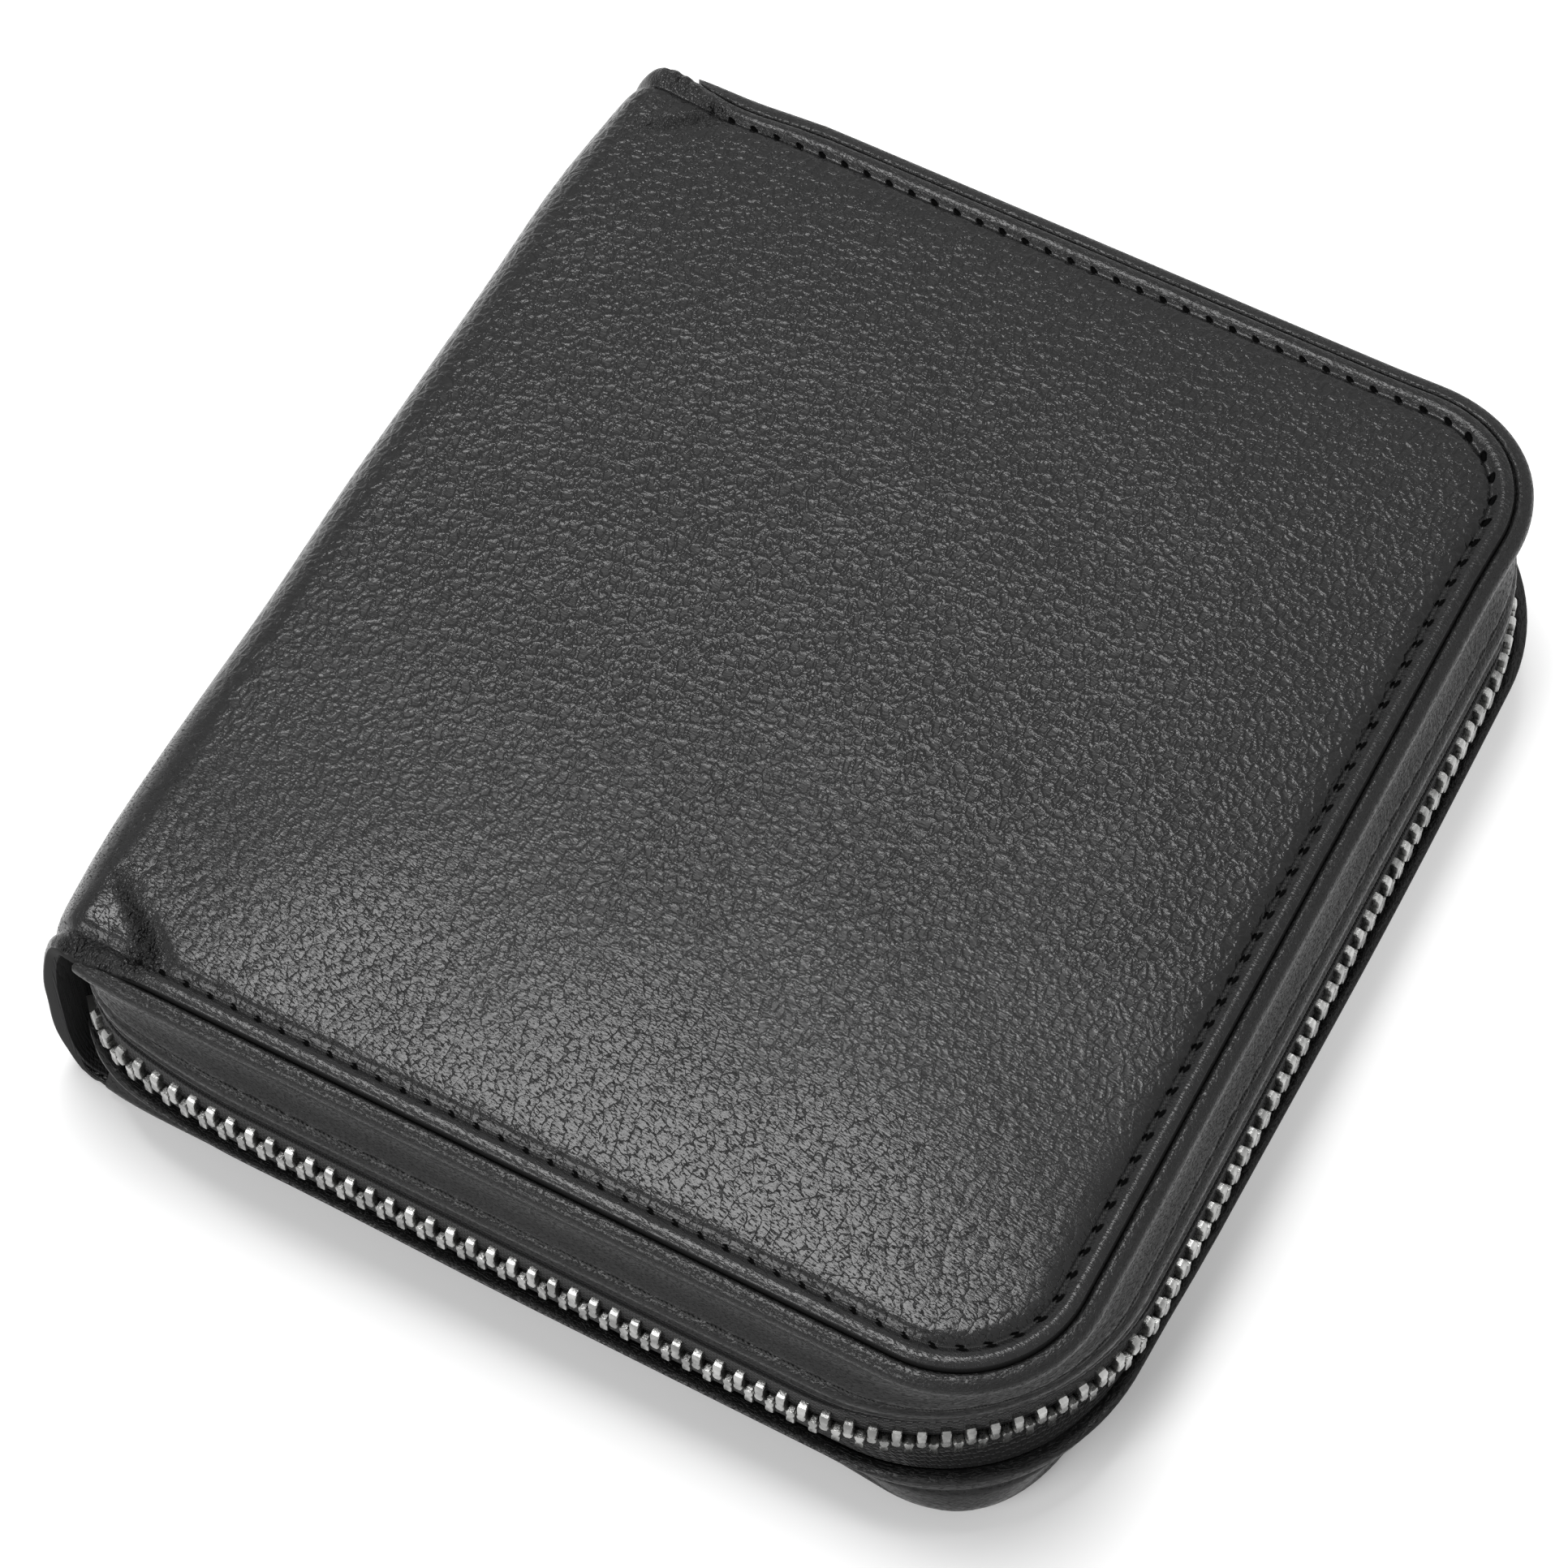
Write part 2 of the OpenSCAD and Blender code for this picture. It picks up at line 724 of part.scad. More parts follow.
cover_bottom();
stiffener_bottom();
lining_bottom();
band_bottom();
zip_tape_bottom();
zip_teeth_bottom();
zip_stop_bottom();
zip_end_stop();
coin_pocket_gusset();
coin_pocket_front();
coin_pocket_strip();
coin_zip_tapes();
coin_zip_teeth();
coin_zip_stops();
cover_top();
stiffener_top();
lining_top();
band_top();
zip_tape_top();
zip_teeth_top();
zip_stop_top();
slip_pocket();
card_pocket_1();
card_pocket_2();
card_pocket_3();
card_pocket_4();
cover_spine();
lining_spine();
slider_body();
pull_tab();
coin_slider();
coin_pull();
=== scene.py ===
"""Looks of the zip-around coin purse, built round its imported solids.

Meshes are shaped in millimetres, in the row's frame, and brought to metres when finished.
+X points to the free edge, +Y along the spine and +Z up. The closed purse lies on z = 0.
"""

import logging
import math
from dataclasses import dataclass
from enum import Enum
from typing import Callable, Optional, Sequence, Union

import bmesh
import bpy
from mathutils import Matrix, Vector, noise


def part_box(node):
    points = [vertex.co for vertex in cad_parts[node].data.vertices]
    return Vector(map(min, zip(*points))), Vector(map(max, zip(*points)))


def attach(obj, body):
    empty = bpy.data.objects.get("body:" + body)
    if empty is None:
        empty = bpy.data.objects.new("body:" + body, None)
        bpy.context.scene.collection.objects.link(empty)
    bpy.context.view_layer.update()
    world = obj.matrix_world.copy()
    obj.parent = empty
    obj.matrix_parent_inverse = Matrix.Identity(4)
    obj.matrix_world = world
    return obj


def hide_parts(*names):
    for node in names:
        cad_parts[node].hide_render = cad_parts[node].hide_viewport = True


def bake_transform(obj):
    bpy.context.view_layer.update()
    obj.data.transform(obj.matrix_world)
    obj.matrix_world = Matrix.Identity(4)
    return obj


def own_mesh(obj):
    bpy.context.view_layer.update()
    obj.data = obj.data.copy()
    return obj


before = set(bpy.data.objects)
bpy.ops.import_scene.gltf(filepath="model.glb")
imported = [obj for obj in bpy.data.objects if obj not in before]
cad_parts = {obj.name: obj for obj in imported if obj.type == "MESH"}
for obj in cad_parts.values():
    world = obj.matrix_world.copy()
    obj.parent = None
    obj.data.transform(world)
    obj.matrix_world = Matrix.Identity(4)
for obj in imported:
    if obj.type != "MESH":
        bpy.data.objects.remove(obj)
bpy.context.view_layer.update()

LOG = logging.getLogger("purse")
MM = 0.001
UV_SPAN = 100.0  # millimetres of flat material to one unit of its flat pattern
SEAM_IN = 2.4  # from a cover's edge to its row of stitches
SEAM_PITCH = 2.5
THREAD_W = 0.3
TURN_STEPS = (12, 6)  # along the tight and the wide part of the turn at a spine end
BLACK = (0.002, 0.002, 0.002, 1.0)
WHITE = (1.0, 1.0, 1.0, 1.0)

Line = list[tuple[float, float]]
Value = Union["Wire", float, Sequence[float]]


# ---------------------------------------------------------------- small helpers


def mix(a: float, b: float, t: float) -> float:
    """Returns the value a share t of the way from a to b."""
    return a + (b - a) * t


def between(a: float, b: float, count: int) -> list[float]:
    """Returns the values that part the stretch from a to b into count equal ones."""
    return [mix(a, b, i / count) for i in range(1, count)]


def ease(t: float) -> float:
    """Returns a smooth step from 0 to 1, flat outside that range."""
    t = min(max(t, 0.0), 1.0)
    return t * t * (3 - 2 * t)


def bell(distance: float, reach: float) -> float:
    """Returns a smooth bump that is 1 at distance 0 and dies out at reach."""
    return 1 - ease(abs(distance) / reach)


def wave(x: float, y: float, z: float, scale: float) -> float:
    """Returns smooth repeatable noise of about -1 to 1 at a place, with features of that scale."""
    return noise.noise(Vector((x, y, z)) / scale) * 2


def arc(x: float, y: float, r: float, start: float, end: float, count: int = 24) -> Line:
    """Returns points on a circle round (x, y), from a start to an end angle in degrees."""
    turns = [math.radians(mix(start, end, i / count)) for i in range(count + 1)]
    return [(x + r * math.cos(t), y + r * math.sin(t)) for t in turns]


def node_box(name: str) -> tuple[Vector, Vector]:
    """Returns the lowest and highest corner of a CAD node, in millimetres."""
    low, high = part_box(name)
    return low / MM, high / MM


class Route:
    """A line of points that is followed by length."""

    def __init__(self, points: Sequence[Sequence[float]]) -> None:
        """Measures the length up to each point."""
        self.points = list(points)
        self.lengths = [0.0]
        for a, b in zip(self.points, self.points[1:]):
            self.lengths.append(self.lengths[-1] + math.dist(a, b))

    @property
    def length(self) -> float:
        """Length of the whole line."""
        return self.lengths[-1]

    def find(self, length: float) -> tuple[int, float]:
        """Returns the point that ends the stretch at a length, and the share of that stretch."""
        i = 1
        while i < len(self.points) - 1 and self.lengths[i] < length:
            i += 1
        return i, (length - self.lengths[i - 1]) / (self.lengths[i] - self.lengths[i - 1])

    def at(self, length: float) -> Vector:
        """Returns the place at a length from the start."""
        i, share = self.find(length)
        return self.points[i - 1].lerp(self.points[i], share)


class Half(Enum):
    """The two halves of the purse, which meet at the middle plane."""

    LOWER = "lower"
    UPPER = "upper"

    @property
    def body(self) -> str:
        """Name of the CAD body that carries this half."""
        return "base" if self is Half.LOWER else "lid"

    @property
    def node_word(self) -> str:
        """Word by which this half's CAD nodes are named."""
        return "bottom" if self is Half.LOWER else "top"

    @property
    def up(self) -> int:
        """Direction from the middle plane to this half's cover, as 1 or -1."""
        return -1 if self is Half.LOWER else 1


# ---------------------------------------------------------------- mesh helpers


def tidy_mesh(bm: bmesh.types.BMesh, gap: float = 0.002) -> None:
    """Merges points closer than a gap in millimetres, then turns every face outwards."""
    bmesh.ops.remove_doubles(bm, verts=bm.verts, dist=gap)
    bmesh.ops.recalc_face_normals(bm, faces=bm.faces)


def add_object(name: str, data: bpy.types.ID) -> bpy.types.Object:
    """Makes an object of some data at the scene's origin and returns it."""
    thing = bpy.data.objects.new(name, data)
    bpy.context.scene.collection.objects.link(thing)
    return thing


def make_piece(
    bm: bmesh.types.BMesh, name: str, material: bpy.types.Material, sharp: float = 50.0
) -> bpy.types.Object:
    """Brings a finished mesh to metres and makes it an object at the origin.

    Args:
        bm: The mesh, in millimetres. It is freed.
        name: Name of the piece.
        material: Its finish.
        sharp: Edges that turn by more than this many degrees look sharp.

    Returns:
        The new object.
    """
    bmesh.ops.scale(bm, vec=(MM, MM, MM), verts=bm.verts)
    mesh = bpy.data.meshes.new(name)
    bm.to_mesh(mesh)
    bm.free()
    mesh.materials.append(material)
    mesh.shade_smooth()
    mesh.set_sharp_from_angle(angle=math.radians(sharp))
    LOG.info("%s: %d faces", name, len(mesh.polygons))
    return add_object(name, mesh)


def add_piece(
    bm: bmesh.types.BMesh, name: str, material: bpy.types.Material, body: str,
    node: str = "", sharp: float = 50.0,
) -> bpy.types.Object:
    """Makes a piece that rides on one body.

    Args:
        bm: The mesh, in millimetres. It is freed.
        name: Name of the piece.
        material: Its finish.
        body: The body that carries it.
        node: The CAD node that it stands in for, if any.
        sharp: Edges that turn by more than this many degrees look sharp.

    Returns:
        The new object.
    """
    piece = make_piece(bm, name, material, sharp)
    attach(piece, body)
    if node:
        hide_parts(node)
    return piece


def dress(node: str, material: bpy.types.Material) -> None:
    """Gives a CAD node its finish."""
    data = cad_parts[node].data
    data.materials.clear()
    data.materials.append(material)


def bend_blank(
    bm: bmesh.types.BMesh, columns: int, rows: int,
    place: Callable[[int, int], Sequence[float]],
    flat: Callable[[int, int], tuple[float, float]],
) -> None:
    """Makes a flat blank of columns by rows and moves each of its points into place.

    Args:
        bm: The mesh that the blank is added to.
        columns: Number of faces along the blank.
        rows: Number of faces across it.
        place: Gives a point's place from its column and row.
        flat: Gives a point's place on the flat, uncut material, for its pattern.
    """
    verts = bmesh.ops.create_grid(bm, x_segments=columns, y_segments=rows, size=0.5)["verts"]
    at = {v: (round((v.co.x + 0.5) * columns), round((v.co.y + 0.5) * rows)) for v in verts}
    layer = bm.loops.layers.uv.verify()
    for face in {f for v in verts for f in v.link_faces}:
        for loop in face.loops:
            loop[layer].uv = Vector(flat(*at[loop.vert])) / UV_SPAN
    for v in verts:
        v.co = place(*at[v])


def sweep(rails: Sequence[Sequence[Vector]]) -> bmesh.types.BMesh:
    """Sweeps a ring of rails along their stations into a closed strip.

    Args:
        rails: The rails round the strip's section, each with one point per station.

    Returns:
        The new mesh, with its flat pattern laid out along and round the strip.
    """
    ring = [*rails, rails[0]]
    half = len(rails[0]) // 2
    along = Route(rails[0]).lengths
    across = Route([rail[half] for rail in ring]).lengths
    bm = bmesh.new()
    bend_blank(
        bm, len(along) - 1, len(ring) - 1,
        lambda i, j: ring[j][i], lambda i, j: (along[i], across[j]),
    )
    bmesh.ops.remove_doubles(bm, verts=bm.verts, dist=0.001)
    bmesh.ops.holes_fill(bm, edges=[e for e in bm.edges if e.is_boundary])
    bmesh.ops.recalc_face_normals(bm, faces=bm.faces)
    return bm


def thicken(
    bm: bmesh.types.BMesh, outline: Line, start: float, rim: Sequence[tuple[float, float]]
) -> None:
    """Makes a slab on z = 0 whose top face is shaped in steps from its rim inwards.

    Args:
        bm: The mesh that the slab is added to.
        outline: The slab's outline.
        start: Height of its wall.
        rim: How far in each step goes and how much it rises.
    """
    face = bm.faces.new([bm.verts.new((x, y, 0)) for x, y in outline])
    top = bmesh.ops.extrude_face_region(bm, geom=[face])["geom"]
    verts = [g for g in top if isinstance(g, bmesh.types.BMVert)]
    bmesh.ops.translate(bm, vec=(0, 0, start), verts=verts)
    face = next(g for g in top if isinstance(g, bmesh.types.BMFace))
    for inset, lift in rim:
        bmesh.ops.inset_region(bm, faces=[face], thickness=inset, use_even_offset=True)
        bmesh.ops.translate(bm, vec=(0, 0, lift), verts=face.verts)


def cut_grid(
    bm: bmesh.types.BMesh, axis: int, cuts: Sequence[float],
    within: Optional[Callable[[Vector], bool]] = None,
) -> None:
    """Cuts a mesh by planes across one axis, so that it can bend there.

    Args:
        bm: The mesh.
        axis: 0, 1 or 2 for planes across X, Y or Z.
        cuts: Where the planes are.
        within: Cuts only the faces whose middle passes this test.
    """
    normal = Vector([float(k == axis) for k in range(3)])
    for cut in cuts:
        if within is None:
            geom = bm.verts[:] + bm.edges[:] + bm.faces[:]
        else:
            faces = [f for f in bm.faces if within(f.calc_center_median())]
            edges = {e for f in faces for e in f.edges}
            geom = list({v for e in edges for v in e.verts}) + list(edges) + faces
        bmesh.ops.bisect_plane(bm, geom=geom, dist=0.0005, plane_co=normal * cut, plane_no=normal)


def add_stitch(
    bm: bmesh.types.BMesh, a: Vector, b: Vector, up: Vector, width: float = THREAD_W
) -> None:
    """Adds one stitch of thread, a plump run of thread between two needle holes.

    Args:
        bm: The mesh that it is added to.
        a: One end.
        b: The other end.
        up: Direction away from the leather.
        width: Width of the thread.
    """
    along = (b - a).normalized()
    side = up.cross(along).normalized()
    turn = Matrix((side, along.cross(side), along)).transposed().to_4x4()
    size = Matrix.Diagonal((width / 2, width / 2, (b - a).length / 2, 1))
    bmesh.ops.create_uvsphere(
        bm, u_segments=6, v_segments=5, radius=1,
        matrix=Matrix.Translation((a + b) / 2) @ turn @ size,
    )


def soften(node: str, radius: float, segments: int = 2) -> bmesh.types.BMesh:
    """Copies a CAD node's solid and rounds its sharp edges.

    Args:
        node: Name of the CAD node.
        radius: Radius of the rounding, in millimetres.
        segments: Faces across each rounded edge.

    Returns:
        The new mesh, in millimetres.
    """
    bm = bmesh.new()
    bm.from_mesh(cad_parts[node].data)
    bmesh.ops.scale(bm, vec=(1 / MM, 1 / MM, 1 / MM), verts=bm.verts)
    bmesh.ops.remove_doubles(bm, verts=bm.verts, dist=0.002)
    bmesh.ops.dissolve_limit(
        bm, angle_limit=math.radians(1), use_dissolve_boundaries=False,
        verts=bm.verts, edges=bm.edges,
    )
    sharp = math.radians(35)
    corners = [e for e in bm.edges if len(e.link_faces) == 2 and e.calc_face_angle() > sharp]
    bmesh.ops.bevel(
        bm, geom=corners, offset=radius, offset_type="OFFSET", affect="EDGES",
        segments=segments, profile=0.5, material=-1, clamp_overlap=True,
    )
    bmesh.ops.recalc_face_normals(bm, faces=bm.faces)
    return bm


# ---------------------------------------------------------------- shader helpers


def math_method(operation: str, swapped: bool = False) -> Callable[["Wire", Value], "Wire"]:
    """Returns a method of Wire that adds one Math node, with its operands swapped or not."""

    def reckon(self: "Wire", other: Value) -> "Wire":
        """Adds the node to the value's own graph."""
        first, second = (other, self) if swapped else (self, other)
        return self.graph.math(operation, first, second)

    return reckon


class Wire:
    """A shader value that is reckoned with like a number, where | takes the greater one."""

    def __init__(self, graph: "Graph", socket: bpy.types.NodeSocket) -> None:
        """Keeps the graph and the output socket that gives the value."""
        self.graph = graph
        self.socket = socket

    __add__ = __radd__ = math_method("ADD")
    __sub__ = math_method("SUBTRACT")
    __rsub__ = math_method("SUBTRACT", swapped=True)
    __mul__ = __rmul__ = math_method("MULTIPLY")
    __truediv__ = math_method("DIVIDE")
    __rtruediv__ = math_method("DIVIDE", swapped=True)
    __pow__ = math_method("POWER")
    __or__ = math_method("MAXIMUM")


class Graph:
    """A node tree that is wired up with short calls."""

    def __init__(self, tree: bpy.types.NodeTree) -> None:
        """Takes the tree that the calls add to."""
        self.tree = tree

    def add(self, kind: str, inputs: Optional[dict] = None, **settings) -> bpy.types.Node:
        """Adds one node.

        Args:
            kind: Blender's name of the node type, without its ShaderNode prefix.
            inputs: Values or wires by input name or number.
            **settings: The node's own properties.

        Returns:
            The new node.
        """
        node = self.tree.nodes.new("ShaderNode" + kind)
        for key, value in settings.items():
            setattr(node, key, value)
        for key, value in (inputs or {}).items():
            self.feed(node.inputs[key], value)
        return node

    def feed(self, socket: bpy.types.NodeSocket, value: Value) -> None:
        """Links a wire to a socket, or sets the socket's own value."""
        if isinstance(value, Wire):
            self.tree.links.new(value.socket, socket)
        else:
            socket.default_value = value

    def get(
        self, kind: str, output: Union[int, str] = 0, inputs: Optional[dict] = None, **settings
    ) -> Wire:
        """Adds one node and returns one of its outputs."""
        return Wire(self, self.add(kind, inputs, **settings).outputs[output])

    def math(self, operation: str, a: Value, b: Optional[Value] = None, clamp: bool = False) -> Wire:
        """Returns the result of a Math node."""
        operands = {0: a} if b is None else {0: a, 1: b}
        return self.get("Math", 0, operands, operation=operation, use_clamp=clamp)

    def move(self, operation: str, inputs: dict) -> Wire:
        """Returns the result of a Vector Math node."""
        return self.get("VectorMath", 0, inputs, operation=operation)

    def span(
        self, value: Wire, low: Value, high: Value, to_low: float = 0.0, to_high: float = 1.0
    ) -> Wire:
        """Returns a value mapped smoothly from low..high to to_low..to_high."""
        ends = {"From Min": low, "From Max": high, "To Min": to_low, "To Max": to_high}
        return self.get("MapRange", 0, {"Value": value, **ends}, interpolation_type="SMOOTHSTEP")

    def blend(self, factor: Wire, a: Value, b: Value) -> Wire:
        """Returns a mix of two numbers by a factor."""
        return self.get("Mix", 0, {0: factor, 2: a, 3: b}, data_type="FLOAT")

    def tint(self, factor: Wire, a: Value, b: Value) -> Wire:
        """Returns a mix of two colours by a factor."""
        return self.get("Mix", 2, {0: factor, 6: a, 7: b}, data_type="RGBA")

    def parts(self, vector: Wire) -> list[Wire]:
        """Returns the X, Y and Z of a vector."""
        return [Wire(self, output) for output in self.add("SeparateXYZ", {0: vector}).outputs]

    def stretch(self, vector: Wire, scale: Sequence[float], turn: float = 0.0) -> Wire:
        """Returns a vector turned about Z by an angle in degrees and scaled."""
        turned = (0, 0, math.radians(turn))
        return self.get("Mapping", 0, {"Vector": vector, "Rotation": turned, "Scale": scale})

    def noise(self, vector: Wire, scale: Value, detail: float = 2.0, rough: float = 0.5) -> Wire:
        """Returns the factor of a Noise Texture."""
        inputs = {"Vector": vector, "Scale": scale, "Detail": detail, "Roughness": rough}
        return self.get("TexNoise", 0, inputs)

    def bump(self, height: Wire, depth: float) -> Wire:
        """Returns the normal of a relief of a depth in millimetres, from a height of 0 to 1."""
        return self.get("Bump", 0, {"Strength": 1.0, "Distance": depth * MM, "Height": height})

    def seen(self) -> Wire:
        """Returns 1 for rays from the camera, in gloss or through glass, and 0 for others."""
        rays = self.add("LightPath").outputs
        camera, gloss, glass = (
            Wire(self, rays[f"Is {kind} Ray"]) for kind in ("Camera", "Glossy", "Transmission")
        )
        return camera | gloss | glass

    def use(self, group: bpy.types.NodeTree, place: Wire, **values: float) -> dict[str, Wire]:
        """Places a shared group, with a place in millimetres, and returns its outputs."""
        node = self.add("Group", {"Place": place, **values}, node_tree=group)
        return {output.name: Wire(self, output) for output in node.outputs}


def make_group(
    name: str, takes: dict[str, float],
    build: Callable[[Graph, Wire, dict[str, Wire]], dict[str, Wire]],
) -> bpy.types.NodeTree:
    """Makes a shader node group that works on a place in millimetres.

    Args:
        name: Name of the group.
        takes: Its other inputs, with their default values.
        build: Fills the group from the place and its inputs, and returns what it gives by name.

    Returns:
        The group.
    """
    tree = bpy.data.node_groups.new(name, "ShaderNodeTree")
    tree.interface.new_socket("Place", in_out="INPUT", socket_type="NodeSocketVector")
    for key, value in takes.items():
        socket = tree.interface.new_socket(key, in_out="INPUT", socket_type="NodeSocketFloat")
        socket.default_value = value
    graph = Graph(tree)
    start = tree.nodes.new("NodeGroupInput").outputs
    inputs = {key: Wire(graph, start[key]) for key in takes}
    gives = build(graph, Wire(graph, start["Place"]), inputs)
    for key in gives:
        tree.interface.new_socket(key, in_out="OUTPUT", socket_type="NodeSocketFloat")
    end = tree.nodes.new("NodeGroupOutput").inputs
    for key, value in gives.items():
        graph.feed(end[key], value)
    return tree


def hide_grain(g: Graph, place: Wire, take: dict[str, Wire]) -> dict[str, Wire]:
    """Fills a group with pebbles of hide parted by creases.

    Args:
        g: The group's graph.
        place: Place in millimetres.
        take: The size of a Pebble, the width of a Crease, and how far both Wander and Fray.

    Returns:
        The Height of 0 to 1, a Crease mask, the distance to the Edge in pebbles, and a Shade.
    """
    strayed = place
    for scale, reach in ((0.5, "Wander"), (1.9, "Fray")):
        drift = g.get("TexNoise", "Color", {"Vector": place, "Scale": scale, "Detail": 1.5})
        centred = g.move("SUBTRACT", {0: drift, 1: (0.5, 0.5, 0.5)})
        strayed = g.move("ADD", {0: strayed, 1: g.move("SCALE", {0: centred, "Scale": take[reach]})})
    inputs = {"Vector": strayed, "Scale": 1.0 / take["Pebble"]}
    edge = g.get("TexVoronoi", 0, inputs, feature="DISTANCE_TO_EDGE", voronoi_dimensions="2D")
    cell = g.add("TexVoronoi", inputs, feature="F1", voronoi_dimensions="2D").outputs
    width = take["Crease"] * g.span(g.noise(place, 0.9, 3.0), 0.35, 0.75, 0.15, 1.6)
    deep = g.span(edge, 0.0, width)
    dome = 1.0 - Wire(g, cell["Distance"]) ** 2.0
    shade = g.get("SeparateColor", 0, {0: Wire(g, cell["Color"])})
    height = dome * 0.45 + deep * 0.45 + shade * 0.1
    return {"Height": height, "Crease": 1.0 - deep, "Edge": edge, "Shade": shade}


def hide_pores(g: Graph, place: Wire, take: dict[str, Wire]) -> dict[str, Wire]:
    """Fills a group with short dashes where hair grew, as a Mask, by their Size and Amount."""
    dots = g.noise(g.stretch(place, (0.45, 1.0, 1.0), 12.0), 1.0 / take["Size"], 1.5, 0.6)
    above = dots - (0.72 - take["Amount"] * 0.3)
    return {"Mask": g.math("MULTIPLY", above, 12.0, clamp=True)}


def woven_cloth(g: Graph, place: Wire, take: dict[str, Wire]) -> dict[str, Wire]:
    """Fills a group with the Height and Shade of a plain weave, by its Yarn and its Slant."""
    x, y = (part * (math.pi / take["Yarn"]) for part in g.parts(place)[:2])
    across, along = (g.math("SINE", turn) for turn in (x + y * take["Slant"], y))
    switch = g.span(across * along, -0.4, 0.4)
    height = g.blend(switch, g.math("ABSOLUTE", across), g.math("ABSOLUTE", along))
    fuzz = g.noise(place, 2.2, 3.0, 0.6)
    return {"Height": height, "Shade": fuzz * g.blend(switch, 0.8, 1.1)}


def handling_wear(g: Graph, place: Wire, take: dict[str, Wire]) -> dict[str, Wire]:
    """Fills a group with a Handled mask of broad soft patches with fine scuffs, by its Patch."""
    broad = g.noise(place, 1.0 / take["Patch"], 3.0)
    scuff = g.noise(place, 1.6, 4.0, 0.65)
    return {"Handled": g.span(broad * 0.7 + scuff * 0.3, 0.35, 0.68)}


class Effects:
    """The shader groups that several finishes share, each built once."""

    def __init__(self) -> None:
        """Builds the groups."""
        pebbles = {"Pebble": 1.3, "Crease": 0.12, "Wander": 0.9, "Fray": 0.25}
        self.grain = make_group("hide grain", pebbles, hide_grain)
        self.pores = make_group("hide pores", {"Size": 0.2, "Amount": 0.4}, hide_pores)
        self.weave = make_group("woven cloth", {"Yarn": 0.3, "Slant": 0.5}, woven_cloth)
        self.wear = make_group("handling wear", {"Patch": 25.0}, handling_wear)


# ---------------------------------------------------------------- finishes


class Pattern(Enum):
    """The coordinate that a finish takes the place of its pattern from."""

    FLAT = "UV"
    SOLID = "Object"

    @property
    def scale(self) -> float:
        """Millimetres to one unit of the coordinate."""
        return UV_SPAN if self is Pattern.FLAT else 1 / MM


@dataclass(frozen=True)
class Finish:
    """What every finish has: a name, a colour, a roughness and where its pattern lies."""

    name: str
    colour: tuple[float, float, float]
    roughness: float
    pattern: Pattern = Pattern.SOLID

    def tone(self, share: float = 1.0) -> tuple[float, ...]:
        """Returns the colour made paler or darker by a share, with its alpha."""
        return (*(c * share for c in self.colour), 1.0)

    def shade(self, g: Graph, effects: Effects, place: Wire) -> dict[str, Value]:
        """Works out the shader's inputs.

        Args:
            g: The material's graph.
            effects: The shared shader groups.
            place: The pattern's place in millimetres.

        Returns:
            Wires or values by the name of the input.
        """
        raise NotImplementedError

    def build(self, effects: Effects) -> bpy.types.Material:
        """Builds the material from the shared shader groups and returns it."""
        material = bpy.data.materials.new(self.name)
        material.use_nodes = True
        material.diffuse_color = self.tone()
        g = Graph(material.node_tree)
        shader = material.node_tree.nodes["Principled BSDF"]
        place = g.stretch(g.get("TexCoord", self.pattern.value), (self.pattern.scale,) * 3)
        for key, value in self.shade(g, effects, place).items():
            g.feed(shader.inputs[key], value)
        return material


